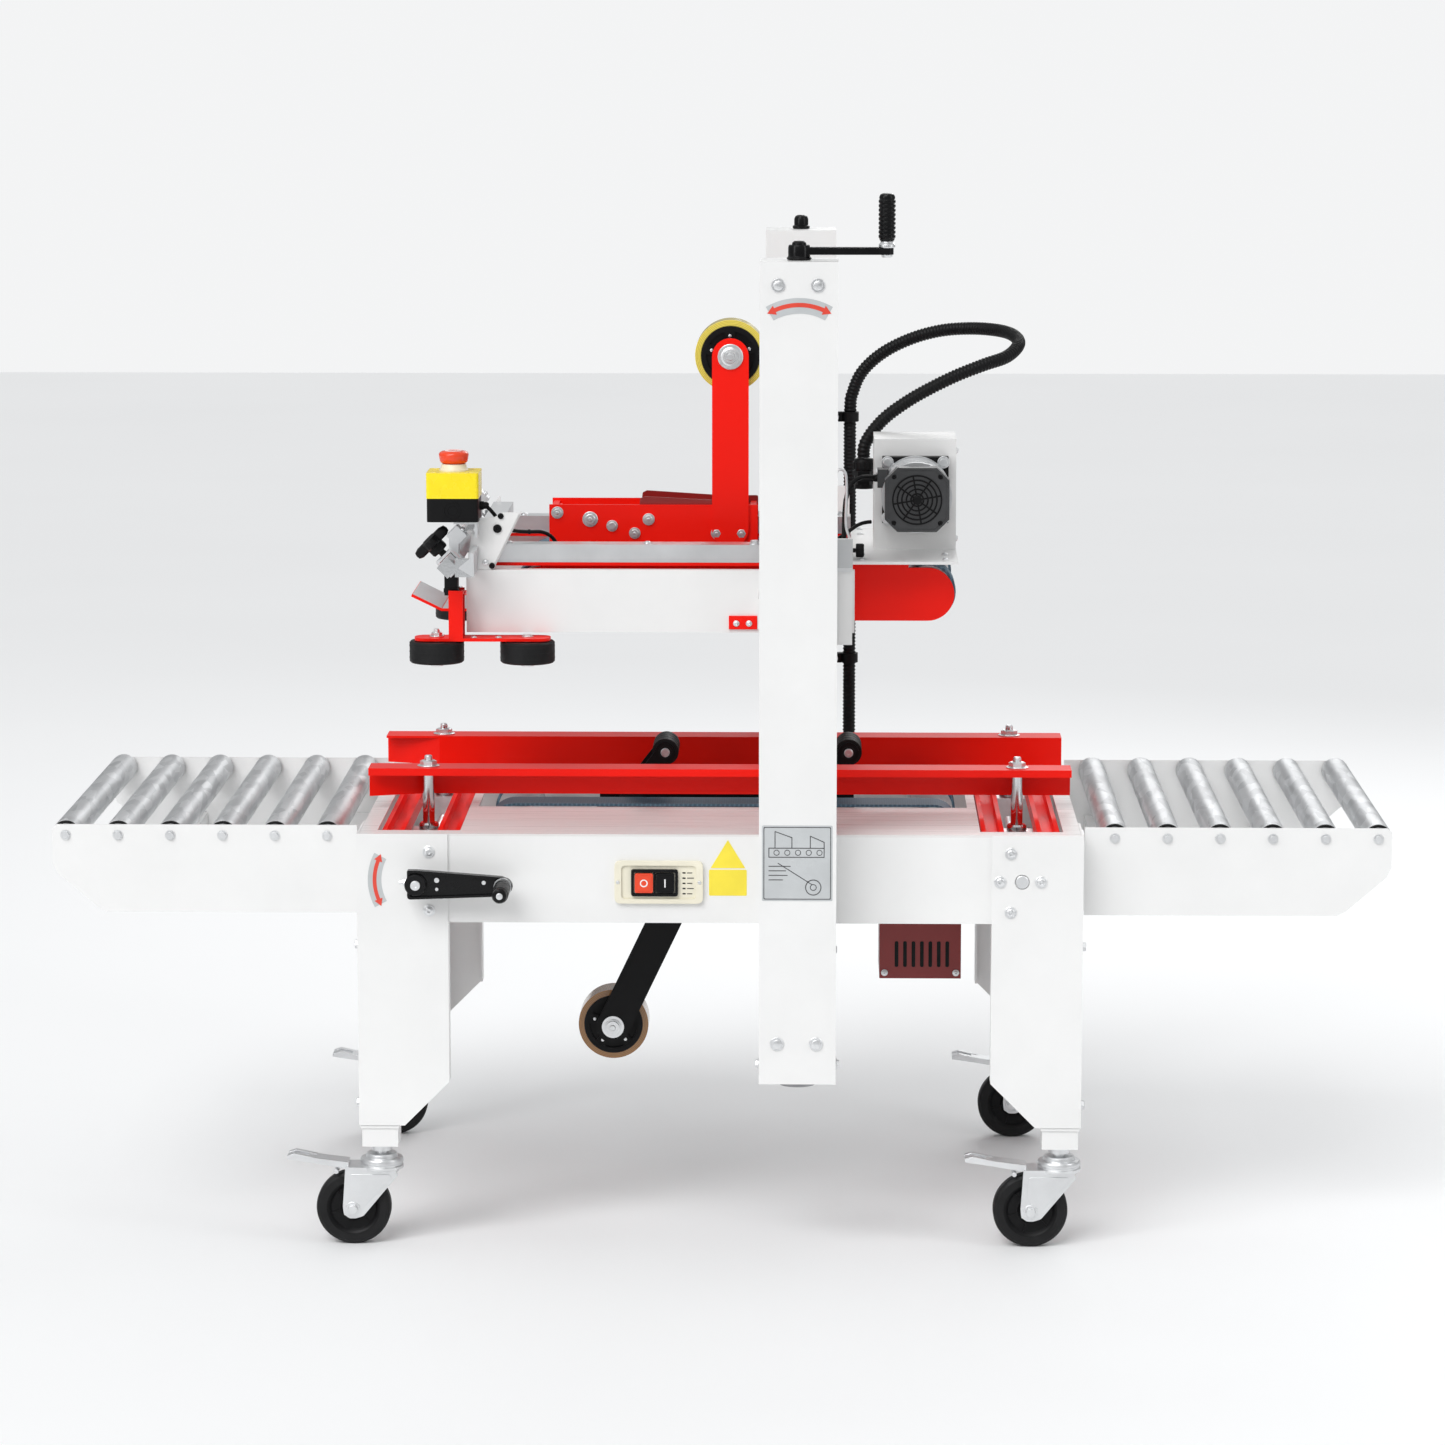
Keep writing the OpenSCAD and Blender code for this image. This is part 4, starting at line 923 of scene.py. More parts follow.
def lift_crank():
    crank = Shape()
    x, y = COLUMN_X, -COLUMN_Y
    up = upright(x, y)
    thread(crank, 8, 233.5, 1322, up, 0, 6, 20)
    crank.prism([(x + u, y + v) for u, v in toothed(19.8, 16, 2.4)], 236, 242.5, plane_frame("z"), 0)
    crank.lathe([(8, 1320), (15.6, 1322.8), (16.2, 1324.5), (14.2, 1327.0), (14.2, 1338.4), (13.2, 1341.6),
                 (9.4, 1341.6), (9.0, 1344.5), (6.4, 1346.6), (0.1, 1346.6)], up, 1, 40)
    grip_x = x + 113
    arm = stadium((x, y), (grip_x, y), 10.5, 8.6)
    crank.prism(arm, 1329.2, 1337.0, plane_frame("z"), 1)
    ring_prism(crank, arm, stadium((x, y), (grip_x, y), 6.5, 5.4), 1337.0, 1338.4, plane_frame("z"), 1)
    pin = upright(grip_x, y)
    crank.lathe([(0.1, 1325.6), (6.4, 1325.6), (7.2, 1327.2), (7.2, 1329.2)], pin, 0, 24)
    crank.lathe([(9.8, 1338.0), (10.6, 1339.2), (10.6, 1342.2), (8.2, 1345.0), (8.2, 1346.2), (0.1, 1346.2)],
                pin, 0, 32)
    ribbed_grip(crank, upright(grip_x, y, 1346), 61.8, 1)
    crank.build("lift_crank_handle", "lift_crank", [ZINC, KNOB_PLASTIC], "zinc_steel", bevel=0.5,
                replaces=("lift_crank",))
    rear = Shape()
    up = upright(x, COLUMN_Y)
    thread(rear, 8, 233.5, 1322, up, 0, 6, 20)
    rear.prism([(x + u, COLUMN_Y + v) for u, v in toothed(19.8, 16, 2.4)], 236, 242.5, plane_frame("z"), 0)
    rear.lathe([(8, 1321), (12.4, 1323), (12.4, 1326), (10.2, 1327.5), (10.2, 1336), (8.6, 1340),
                (5.4, 1341.8), (0.1, 1342)], up, 1, 32)
    rear.build("rear_screw_cap", "rear_lift_screw", [ZINC, KNOB_PLASTIC], "zinc_steel",
               replaces=("rear_lift_screw",))


# ---------------------------------------------------------------- press rollers


def star_knob(shape, place, radius, low, high, kind):
    """Knob with four rounded lobes."""
    outline = []
    for i in range(72):
        a = 2 * math.pi * i / 72
        r = radius * (0.80 + 0.20 * math.cos(4 * a))
        outline.append((r * math.cos(a), r * math.sin(a)))
    n = len(outline)
    levels = [(0.80, low), (0.97, low + 2.4), (1.0, (low + high) / 2), (0.95, high - 2.2), (0.72, high)]
    points = [(x * k, y * k, z) for k, z in levels for x, y in outline]
    faces = [list(range(n))[::-1], [4 * n + i for i in range(n)]]
    faces += [(r * n + i, r * n + (i + 1) % n, (r + 1) * n + (i + 1) % n, (r + 1) * n + i)
              for r in range(4) for i in range(n)]
    shape.add(points, faces, kind, place)


def press_bracket(side, s):
    bracket = Shape()
    y = s * PRESS_Y
    up = plane_frame("z", (0, y, 0))
    bracket.prism(rounded(box_outline(-410, -228, -20, 20), 18, 8), 806, 810, up, 0)
    bracket.block((-363, y - 20, 810), (-359, y + 20, 874), 0)
    for w in (-20, 16):
        bracket.block((-359, y + w, 810), (-344, y + w + 4, 874), 0)
    bracket.block((-359, y - 16, 868), (-344, y + 16, 872), 0)
    bracket.prism(rounded(box_outline(-369, -351, -13, 13), 2.5), 867, 894, up, 1)
    bracket.prism(rounded(box_outline(-370, -350, -14, 14), 3), 871, 876, up, 1)
    centre = Matrix.Translation(Vector((PRESS_BAR_X, y, PRESS_BAR_Z)))
    bar = centre @ Matrix.Rotation(math.radians(45), 4, "Y")
    for low, high in (((-14, -16, -14), (-10.4, 16, 14)), ((10.4, -16, -14), (14, 16, 14)),
                      ((-10.4, -16, -14), (10.4, 16, -10.4)), ((-10.4, -16, 10.4), (10.4, 16, 14))):
        bracket.block(low, high, 2, bar)
    lug = [(-366, 947), (-352, 961), (-338, 947), (-350, 935), (-350, 921.5), (-362, 927), (-362, 943)]
    bracket.prism(rounded(lug, [2, 2, 2, 1, 0.5, 0.5, 1], 4), y - 13, y + 13, plane_frame("y"), 2)
    for w in (-7, 7):
        screw = Matrix.Translation(Vector((-345, y + w, 954))) @ Matrix.Rotation(math.radians(45), 4, "Y")
        bracket.lathe([(0.1, 0), (3.2, 0), (3.2, 1.8), (2.4, 2.6), (1.2, 2.6), (1.2, 1.4), (0.1, 1.4)],
                      screw, 3, 16)
        place = bar @ Matrix.Translation(Vector((14, w, 0))) @ Matrix.Rotation(math.radians(90), 4, "Y")
        bracket.lathe([(0.1, 0), (3.6, 0), (3.6, 2.4), (2.8, 3.2), (1.2, 3.2), (1.2, 1.8), (0.1, 1.8)],
                      place, 3, 16)
    knob = centre @ Matrix.Rotation(math.radians(-45), 4, "Y")
    bracket.lathe([(5, 11), (5, 19), (10.6, 19.6), (12, 22), (12, 32)], knob, 1, 28)
    star_knob(bracket, knob, 28.2, 30, 44, 1)
    bracket.lathe([(9.5, 43.6), (9.5, 44.2), (8.2, 44.8), (0.1, 44.8)], knob, 1, 24)
    for i, x in enumerate(PRESS_ROLLER_X):
        rod = upright(x, y)
        bracket.lathe([(0.1, 771), (8.6, 771), (9, 771.8), (9, 774), (6, 774.1), (6, 806)], rod, 3, 24)
        if i == 0:
            hex_bolt(bracket, (x, y, 810), "up", 13, 3, 4.8, 4.4)
        else:
            bracket.lathe([(0.1, 810), (8.4, 810), (8.4, 811.2), (6.2, 811.2), (5.8, 813.2), (0.1, 813.4)],
                          rod, 3, 6)
    for x in (-330, -297):
        dome_bolt(bracket, (x, y + 12 * s, 810), "up", 3.4, 3, 2.6)
    bracket.build(f"{side}_press_arm", f"{side}_press_bracket", [RED, BLACK_PLASTIC, CAST, ZINC], "red_paint",
                  bevel=0.6, replaces=(f"{side}_press_bracket",))
    for i, x in enumerate(PRESS_ROLLER_X):
        cap = Shape()
        rod = upright(x, y)
        cap.ring(14, 6.6, 804.8, 805.35, rod, 0, 32)
        cap.ring(14, 6.6, 775.6, 776.2, rod, 0, 32)
        for z in (782.5, 790.5, 798.5):
            cap.ring(36.75, 36.2, z - 0.9, z + 0.9, rod, 1, 56)
        cap.build(f"{side}_press_roller_{i + 1}_hub", f"{side}_press_roller_{i + 1}", [ZINC, ROLLER_RUBBER],
                  "wheel_rubber")


# ---------------------------------------------------------------- tape reels and cartridges


def tape_roll(level, reel, film_look):
    """A roll on its reel: wound film, its core, and a spoked flange on each side."""
    roll = Shape()
    place = axis_frame((reel[0], REEL_Y, reel[1]), (0, -1, 0))
    film = [(39.6, -24), (48.2, -24), (48.6, -23.4), (48.6, 23.4), (48.2, 24), (39.6, 24)]
    roll.lathe(film, place, 0, 96)
    core = [(39.6, -24.4), (38, -24.6), (37.4, -24.6), (37.4, 24.6), (38, 24.6), (39.6, 24.4)]
    roll.lathe(core, place, 1, 80)
    for side in (-1, 1):
        low, high = sorted((side * 25.6, side * 21.5))    # the flange of this side
        roll.ring(40.6, 33.2, low, high, place, 2, 72)
        roll.ring(20.5, 12.3, low, high + (0.4 if side > 0 else 0), place, 2, 48)
        for k in range(5):
            spoke = turned([(19, -5.6), (34, -7.6), (34, 7.6), (19, 5.6)], 72 * k + 20)
            roll.prism(spoke, low + 0.6, high - 0.6, place, 2)
        roll.ring(34, 19.5, *sorted((side * 22.6, side * 21.8)), place, 2, 60)
        for k in range(5):
            a = math.radians(72 * k + 20)
            pip = Matrix.Translation(Vector((27 * math.cos(a), 27 * math.sin(a), 0)))
            roll.lathe([(2.2, low + 0.5), (2.2, high + 0.2), (1.4, high + 0.5), (0.1, high + 0.5)] if side > 0
                       else [(0.1, low - 0.5), (1.4, low - 0.5), (2.2, low - 0.2), (2.2, high - 0.5)],
                       place @ pip, 3, 14)
    roll.ring(12.9, 12.1, -26, 26, place, 3, 40)
    looks = [film_look, CREAM_PLASTIC, BLACK_PLASTIC, ZINC]
    roll.build(f"{level}_tape_reel", f"{level}_tape_roll", looks, "tape_film",
               replaces=(f"{level}_tape_roll",))


def spring(shape, start, end, radius, turns, kind=0, wire=0.9):
    start, end = Vector(start), Vector(end)
    axis = (end - start).normalized()
    side = axis.orthogonal().normalized()
    other = axis.cross(side)
    path = [start]
    steps = turns * 14
    for i in range(steps + 1):
        a = 2 * math.pi * turns * i / steps
        middle = start.lerp(end, 0.08 + 0.84 * i / steps)
        path.append(middle + radius * (math.cos(a) * side + math.sin(a) * other))
    path.append(end)
    shape.tube(path, wire, kind, 6)


def cartridge_details():
    upper = Shape()
    for out, s in SIDES:
        for x, z in ((-228, 957), (-103, 948), (24, 929)):
            hex_bolt(upper, (x, s * CARTRIDGE_FACE, z), out, 11, 0, 3.2, 1.5, 2.6)
        hex_bolt(upper, (-183, s * CARTRIDGE_FACE, 948), out, 14, 0, 3.6, 1.4, 3.2)
        for x, z in ((-122, 929), (-10, 929)):
            hex_bolt(upper, (x, s * CARTRIDGE_FACE, z), out, 10.4, 0, 3.0, 1.0, 2.4)
        hex_bolt(upper, (-153, s * CARTRIDGE_FACE, 939), out, 10.4, 0, 3.0)
    x, z = UPPER_REEL
    face = axis_frame((x, -49, z), (0, -1, 0))
    upper.lathe([(11, 0), (17, 0), (17.4, 0.6), (17.4, 1.8), (16.6, 2.4), (11, 2.4)], face, 0, 40)
    hex_bolt(upper, (x, -50.6, z), "front", 17, 0, 6.0, 2.0, 5)
    dome_bolt(upper, (x, 27, z), "rear", 8, 0, 5)
    # These plates inside the cartridge take the darkened red of painted shade.
    upper.prism(rounded([(-115, 968), (46, 962), (46, 972.5), (-4, 972.5), (-108, 979), (-114, 976)], 2.5),
                38.0, 40.8, plane_frame("y"), 1)
    upper.prism(rounded([(-115, 966), (-12, 960), (-12, 974), (-108, 979), (-115, 976)], 2.5),
                -40.8, -38.4, plane_frame("y"), 1)
    for y in (-20, 20):
        spring(upper, (-150, y, 954), (-183, y, 925), 3.4, 9)
        spring(upper, (-20, y, 950), (-52, y, 925), 3.4, 9)
    # Cross plates inside the cartridge, also in the darkened red of painted shade.
    for x in (-232, 40):
        upper.block((x - 3.2, -40.8, 947), (x - 1.2, 40.8, 964), 1)
    upper.build("upper_cartridge_fittings", "head", [ZINC, SHADED_RED], "zinc_steel", bevel=0.3)
    lower = Shape()
    for out, s in SIDES:
        for x, z in ((-165, 500), (-30, 496), (60, 496), (165, 500)):
            hex_bolt(lower, (x, s * CARTRIDGE_FACE, z), out, 12, 0, 3.2, 1.2, 3)
        for x, z in ((-150, 535), (90, 535)):
            hex_bolt(lower, (x, s * CARTRIDGE_FACE, z), out, 14, 0, 3.2)
    x, z = LOWER_REEL
    face = axis_frame((x, -49, z), (0, -1, 0))
    lower.lathe([(9.2, 0), (15, 0), (15.4, 0.6), (15.4, 1.8), (9.2, 1.8)], face, 0, 40)
    hex_bolt(lower, (x, -50.2, z), "front", 15, 0, 5.4, 1.4, 4.4)
    dome_bolt(lower, (x, 27, z), "rear", 8, 0, 5)
    for x, z in ((-44, 478), (-56, 452)):
        hex_bolt(lower, (x, -49, z), "front", 11, 0, 3.6)
    for y in (-20, 20):
        spring(lower, (-30, y, 500), (-70, y, 530), 3.4, 9)
        spring(lower, (60, y, 500), (20, y, 530), 3.4, 9)
    lower.build("lower_cartridge_fittings", "root", [ZINC], "zinc_steel")
    for level, end, x, z in (("upper", "infeed", -140, 812), ("upper", "outfeed", 5, 812),
                             ("lower", "infeed", -81, 624), ("lower", "outfeed", 172, 624)):
        arm = Shape()
        for out, s in SIDES:
            place = axis_frame((x, s * 39, z), OUT[out])
            arm.lathe([(0.1, 0), (9, 0), (9.2, 0.4), (9.2, 1.1), (6.8, 1.1)], place, 1, 28)
            arm.lathe([(6.4, 1.1), (6.2, 3.0), (5.2, 3.9), (2.2, 3.9), (2.0, 2.4), (0.1, 2.4)], place, 0, 20)
        along = axis_frame((x, 0, z), (0, 1, 0))
        for y in (-27, -9, 9, 27):
            arm.ring(18.35, 17.9, y - 6.6, y + 6.6, along, 1, 48)
        arm.build(f"{level}_{end}_arm_fittings", f"{level}_{end}_arm", [ZINC, ROLLER_RUBBER], "zinc_steel")


# ---------------------------------------------------------------- switches


def arc_outline(centre, inner, outer, start, end, steps=20):
    """Part of a flat ring between two angles in degrees."""
    made = []
    for s in range(steps + 1):
        a = math.radians(start + (end - start) * s / steps)
        made.append((centre[0] + outer * math.cos(a), centre[1] + outer * math.sin(a)))
    for s in range(steps, -1, -1):
        a = math.radians(start + (end - start) * s / steps)
        made.append((centre[0] + inner * math.cos(a), centre[1] + inner * math.sin(a)))
    return made


def arrow_head(centre, radius, angle, size, forward):
    """Triangle at an angle on a circle, pointing along the circle."""
    a = math.radians(angle)
    out = Vector((math.cos(a), math.sin(a)))
    along = Vector((-math.sin(a), math.cos(a))) * forward
    base = Vector(centre) + out * radius
    tri = [base + out * size, base - out * size, base + along * size * 1.7]
    return [tuple(p) for p in (tri if forward < 0 else tri[::-1])]


def curved_arrow(shape, centre, radius, width, start, end, low, high, place, kind, both=True):
    outline = arc_outline(centre, radius - width / 2, radius + width / 2, start, end)
    shape.prism(outline, low, high, place, kind)
    for angle, forward in ((start, -1), (end, 1)):
        if both or forward > 0:
            shape.prism(arrow_head(centre, radius, angle, width * 1.15, forward), low, high, place, kind)


def estop():
    box = Shape()
    x0, x1, y0, y1 = ESTOP_X - 35, ESTOP_X + 35, ESTOP_Y - 35, ESTOP_Y + 35
    up = plane_frame("z")
    box.prism(rounded(box_outline(x0 + 0.6, x1 - 0.6, y0 + 0.6, y1 - 0.6), 6), 965.5, 996.4, up, 0)
    box.prism(rounded(box_outline(x0 + 1.6, x1 - 1.6, y0 + 1.6, y1 - 1.6), 5), 996, 997.2, up, 0)
    box.prism(rounded(box_outline(x0, x1, y0, y1), 5), 997, 1031, up, 1)
    knockout = axis_frame((ESTOP_X, y0 + 0.6, 981), (0, -1, 0))
    box.ring(11.6, 10.6, 0, 0.6, knockout, 0, 40)
    box.ring(6.6, 6.0, 0, 0.5, knockout, 0, 32)
    for x in (x0 + 9, x1 - 9):
        for y in (y0 + 9, y1 - 9):
            place = upright(x, y, 1031)
            box.lathe([(4.6, 0), (4.6, 0.3), (3.6, 0.3), (3.4, -0.4), (0.1, -0.4)], place, 1, 24)
            box.block((-0.5, -2.8, -0.4), (0.5, 2.8, 0.1), 3, place)
            box.block((-2.8, -0.5, -0.4), (2.8, 0.5, 0.1), 3, place)
    collar = upright(ESTOP_X, ESTOP_Y)
    box.lathe([(14.3, 1031), (19.4, 1031), (19.4, 1033), (17.4, 1035.4), (16.4, 1040.2), (15.2, 1040.8),
               (14.3, 1040.8), (14.3, 1031)], collar, 2, 48)
    box.block((-356, -240, 962.5), (-324, -180, 965.5), 3)
    box.block((-328, -240, 944.6), (-324, -180, 962.5), 3)
    for y in (-228, -192):
        dome_bolt(box, (-328, y, 953), "left", 4, 3, 2.6)
    gland = axis_frame((x1 - 0.6, -205, 984), (1, 0, 0))
    box.lathe([(0.1, 0), (6.4, 0), (6.4, 4.5), (5.2, 5.2), (5.2, 9.2), (3.6, 11.6), (2.7, 11.6)], gland, 0, 6)
    box.build("estop_housing", "head", [BLACK_PLASTIC, YELLOW_PLASTIC, CREAM_PLASTIC, ZINC],
              "yellow_plastic", bevel=0.9,
              replaces=("estop_box",))
    cable = Shape()
    route = [(-316, -205, 983.6), (-311, -204.6, 980), (-305, -202.6, 973), (-297, -198, 962),
             (-287, -186, 951),
             (-275, -170, 945.5), (-260, -155, 943), (-244, -140, 941), (-232, -130, 934), (-222, -124, 921),
             (-206, -121, 911.5), (-150, -120, 910), (-100, -120, 910), (20, -120, 910), (110, -118, 912),
             (152, -98, 926), (184, -54, 942), (203, -41, 945)]
    cable.tube(even_path(route, 3), 2.6, 0, 12)
    for x, y, z in ((-260, -155, 943), (-100, -120, 910), (20, -120, 910)):
        tie = axis_frame((x, y, z), (1, 0.1, 0))
        cable.ring(3.5, 2.5, -1.4, 1.4, tie, 0, 20)
    cable.build("estop_cable", "head", [BLACK_PLASTIC], "yellow_plastic")
    button = Shape()
    button.lathe([(0.1, 1018), (13.6, 1018), (13.6, 1041.2), (17.2, 1042.2), (18.6, 1044.4), (19.9, 1051.6),
                  (19.8, 1053.6), (18.6, 1055.8), (16.2, 1057.2), (12, 1057.9), (6, 1058.2),
                  (0.1, 1058.3)], collar, 0, 64)
    for start in (20, 200):
        curved_arrow(button, (ESTOP_X, ESTOP_Y), 11, 2.2, start, start + 110, 1057.9, 1058.7, up, 1,
                     both=False)
    button.build("estop_mushroom", "estop_button", [RED_PLASTIC, MARK], "red_plastic",
                 replaces=("estop_button",))


def switches():
    plate = Shape()
    along = plane_frame("y")
    outline = rounded(box_outline(-139, -22, 470, 527), 8)
    plate.prism(outline, -341.0, -338, along, 0)
    rim = rounded(box_outline(-130, -31, 476, 521), 6)
    ring_prism(plate, outline, rim, -344, -341.0, along, 0)
    frame_out = rounded(box_outline(-117, -55, 480, 516), 3.5)
    frame_in = rounded(box_outline(-113.4, -58.6, 483.8, 512.2), 1.5)
    ring_prism(plate, frame_out, frame_in, -345.4, -341.0, along, 1)
    plate.block((-87.4, -345.2, 484), (-84.6, -341, 512), 1)
    for i, z in enumerate((511, 504, 497, 490, 483)):
        plate.block((-49, -341.5, z - 0.9), (-45, -341.0, z + 0.9), 1)
        plate.block((-43, -341.5, z - 0.5), (-36 + 2 * (i % 2), -341.0, z + 0.5), 1)
    for x in (-134.6, -26.4):
        place = axis_frame((x, -344, 498.5), (0, -1, 0))
        plate.lathe([(0.1, 0.9), (2.0, 0.9), (2.6, 0.2), (2.6, -0.5)], place, 2, 16)
    plate.build("switch_bezel", "root", [CREAM_PLASTIC, BLACK_PLASTIC, ZINC], "beige_plastic", bevel=0.9,
                replaces=("switch_plate",))
    for name, x0, look, slot in (("stop", -112, RED_PLASTIC, "red_plastic"),
                                 ("start", -84, BLACK_PLASTIC, "black_plastic")):
        key = Shape()
        key.prism(rounded(box_outline(x0, x0 + 24, 485, 511), 2.5), -347.2, -342, along, 0)
        key.prism(rounded(box_outline(x0 + 2.5, x0 + 21.5, 487.5, 508.5), 2.5), -347.9, -347.2, along, 0)
        middle = (x0 + 12, 498)
        if name == "stop":
            key.prism(arc_outline(middle, 3.6, 5.2, 0, 359.9, 32), -348.0, -347.8, along, 1)
        else:
            key.prism(box_outline(middle[0] - 0.9, middle[0] + 0.9, 492.5, 503.5), -348.0, -347.8, along, 1)
        key.build(f"{name}_key", f"{name}_button", [look, MARK], slot, bevel=0.7,
                  replaces=(f"{name}_button",))


# ---------------------------------------------------------------- head details


def head_details():
    parts = Shape()
    along = plane_frame("y")
    gusset = {"front": [(-338, 899.3), (-307, 899.3), (-269, 976), (-292, 976), (-304, 969), (-322, 969),
                        (-333, 948), (-338, 922)],
              "rear": [(-338, 899.3), (-307, 899.3), (-313, 920), (-321, 932), (-323, 954), (-336, 934),
                       (-338, 922)]}
    for out, s in SIDES:
        parts.prism(rounded(gusset[out], 1.5, 3), *sorted((s * 217.6, s * 215.2)), along, 0)
    parts.prism([(-307, 899.3), (-304.6, 899.3), (-266.6, 976), (-269, 976)], -215.2, -203, along, 0)
    for x, z, r in ((-294.4, 971.2, 4), (-299, 954.3, 5.8), (-306.5, 904.5, 4)):
        place = axis_frame((x, -217.6, z), (0, -1, 0))
        parts.lathe([(0.1, 0), (r, 0), (r, 1.8), (r - 1, 3), (r * 0.45, 3), (r * 0.45, 1.6), (0.1, 1.6)],
                    place, 2, 20)
    for out, s in SIDES:
        low, high = sorted((s * 190, s * 156))
        parts.block((-306, low, 901.4), (174, high, 905.8), 5)
        for x in (-329, -315):
            dome_bolt(parts, (x, s * 217.6, 909), out, 3.2, 3, 2.4)
        low, high = sorted((s * 335.2, s * 337.4))
        parts.block((154.5, low, 917), (174.4, high, 955), 1)
        parts.block((154.5, low, 911.5), (174.4, high, 917), 3)
        for x in (62, 146):
            for z in (828, 886):
                dome_bolt(parts, (x, s * 218, z), out, 3.4, 3, 2.6)
        for x in (44, 92, 163):
            hex_bolt(parts, (x, s * 181, 930), "up", 10, 3, 4)
        for x in (-286, -100):
            dome_bolt(parts, (x, s * 172, 930), "up", 4, 3, 2.8)
    for x in (20, 37):
        dome_bolt(parts, (x, -221, 828), "front", 3.3, 3, 2.2)
    parts.prism([(-386.2, 827.3), (-425.4, 846.9), (-425, 847.9), (-385.8, 828.3)], -69, 69, along, 1)
    parts.prism([(-341.4, 827.2), (-384.6, 827.2), (-384.6, 828.3), (-341.4, 828.3)], -69, 69, along, 1)
    gland_x, gland_y = HOSE_GLAND
    gland = upright(gland_x, gland_y)
    parts.lathe([(12.8, 998.2), (16, 998.2), (16, 1004.4), (12.8, 1004.4)], gland, 2, 6)
    parts.lathe([(12.8, 991.8), (15.6, 991.8), (15.6, 986), (12.8, 986)], gland, 2, 6)
    parts.lathe([(13.1, 1006), (14.2, 1007), (14.2, 1017.4), (12.6, 1021.4), (10, 1021.4)], gland, 2, 40)
    for k in range(16):
        a = 2 * math.pi * k / 16
        rib = Matrix.Translation(Vector((gland_x + 14.2 * math.cos(a), gland_y + 14.2 * math.sin(a), 0)))
        parts.lathe([(0.1, 1007.5), (0.9, 1007.5), (0.9, 1016.8), (0.1, 1016.8)], rib, 2, 8)
    knob = axis_frame((174.7, -174, 921), (1, 0, 0))
    parts.lathe([(3, 0), (3, 5), (8.6, 5), (9.4, 6.4), (9.4, 14), (8.2, 16), (0.1, 16)], knob, 2, 28)
    for y in (-52, 42):
        for z in (924, 1044):
            dome_bolt(parts, (317, y, z), "right", 3.6, 3, 2.8)
    for x in (188, 300):
        for y in (-180, 180, -120, 120):
            dome_bolt(parts, (x, y, 909), "up", 3.6, 3, 2.8)
    parts.tube(even_path([(150, -198, 1020), (156, -198, 1032), (165, -198, 1028), (167, -198, 1005),
                          (166, -198, 960), (171, -198, 940), (170, -192, 934)], 3), 2.0, 3, 10)
    parts.build("head_fittings", "head", [WHITE, GREY, BLACK_PLASTIC, ZINC, CREAM_PLASTIC, RED],
                "white_paint", bevel=0.4)


def drive_details():
    motor = Shape()
    x, z = UPPER_MOTOR
    front = axis_frame((x, -205, z), (0, -1, 0))
    half, cut = 43, 26.3
    cover = [(half, -cut), (half, cut), (cut, half), (-cut, half), (-half, cut), (-half, -cut), (-cut, -half),
             (cut, -half)]
    inner = [(u * 0.93, v * 0.93) for u, v in cover]
    ring_prism(motor, rounded(cover, 4), rounded(inner, 3.6), 0, 1.4, front, 0)
    motor.ring(33.5, 31.5, 0, 1.6, front, 1, 56)
    for r in (27.5, 21.5, 15.5, 9.5):
        motor.ring(r, r - 2.2, -0.8, 1.4, front, 1, 48)
    motor.lathe([(6.2, -1), (6.2, 1.6), (4.8, 2.4), (0.1, 2.4)], front, 1, 28)
    for k in range(8):
        motor.prism(turned(box_outline(5, 32, -1.1, 1.1), 45 * k + 10), -0.6, 1.2, front, 1)
    for k in range(4):
        a = math.radians(90 * k + 45)
        dome_bolt(motor, (x + 44 * math.cos(a), -205, z + 44 * math.sin(a)), "front", 2.6, 1, 2.2)
    body = axis_frame((x, 0, z), (0, 1, 0))
    for k in range(9):
        y = -170 + 9.6 * k
        motor.ring(45.5, 42.6, y, y + 2.4, body, 3, 56)
    for dx in (-38, 38):
        for dz in (-38, 38):
            hex_bolt(motor, (x + dx, -80, z + dz), "front", 11, 2, 5)
    motor.block((209, -124, 1000), (224, -96, 1025), 0)
    for y in (-120, -100):
        dome_bolt(motor, (209, y, 1021), "left", 2.2, 2, 1.8)
    gland = axis_frame((209, -110, 1012), (-1, 0, 0))
    motor.lathe([(5.6, 0), (5.6, 3.4), (4.4, 6.2), (3.3, 6.2)], gland, 1, 6)
    motor.ring(47.4, 42.6, -177.9, -168, body, 3, 64)
    motor.ring(46.8, 42.6, -86, -80.1, body, 3, 64)
    motor.build("upper_motor_fittings", "head", [MOTOR, BLACK_PLASTIC, ZINC, CAST], "motor_grey", bevel=0.4)

    lower = Shape()
    x, z = LOWER_MOTOR
    body = axis_frame((x, 0, z), (0, 1, 0))
    for k in range(6):
        y = 62 + 7.4 * k
        lower.ring(45.4, 42.6, y, y + 2.2, body, 0, 56)
    for px, pz in ((232, 337), (308, 337), (232, 431), (308, 431)):
        hex_bolt(lower, (px, 170, pz), "rear", 10, 2, 4)
    for k in range(7):
        slot_x = 236 + 11.6 * k
        lower.prism(rounded(box_outline(slot_x, slot_x + 5, 336, 372), 2.4), -100.5, -100,
                    plane_frame("y"), 1)
    for px in (222, 320):
        for pz in (328, 431):
            dome_bolt(lower, (px, -100, pz), "front", 3.6, 2, 2.8)
    lower.block((196, 122, 418), (226, 160, 440), 0)
    for s in (-1, 1):
        for px in (-286, 286):
            place = axis_frame((px, s * 186, 529), (0, s, 0))
            lower.lathe([(0.1, 1.6), (7, 1.6), (10, 0.6), (10, 0)], place, 2, 28)
            place = axis_frame((px, s * 113, 529), (0, s, 0))
            lower.lathe([(10.2, 0), (15, 0), (16, 1), (16, 5.4), (10.2, 6)], place, 2, 32)
    lower.build("lower_drive_fittings", "root", [MOTOR, BLACK_PLASTIC, ZINC], "motor_grey", bevel=0.3)


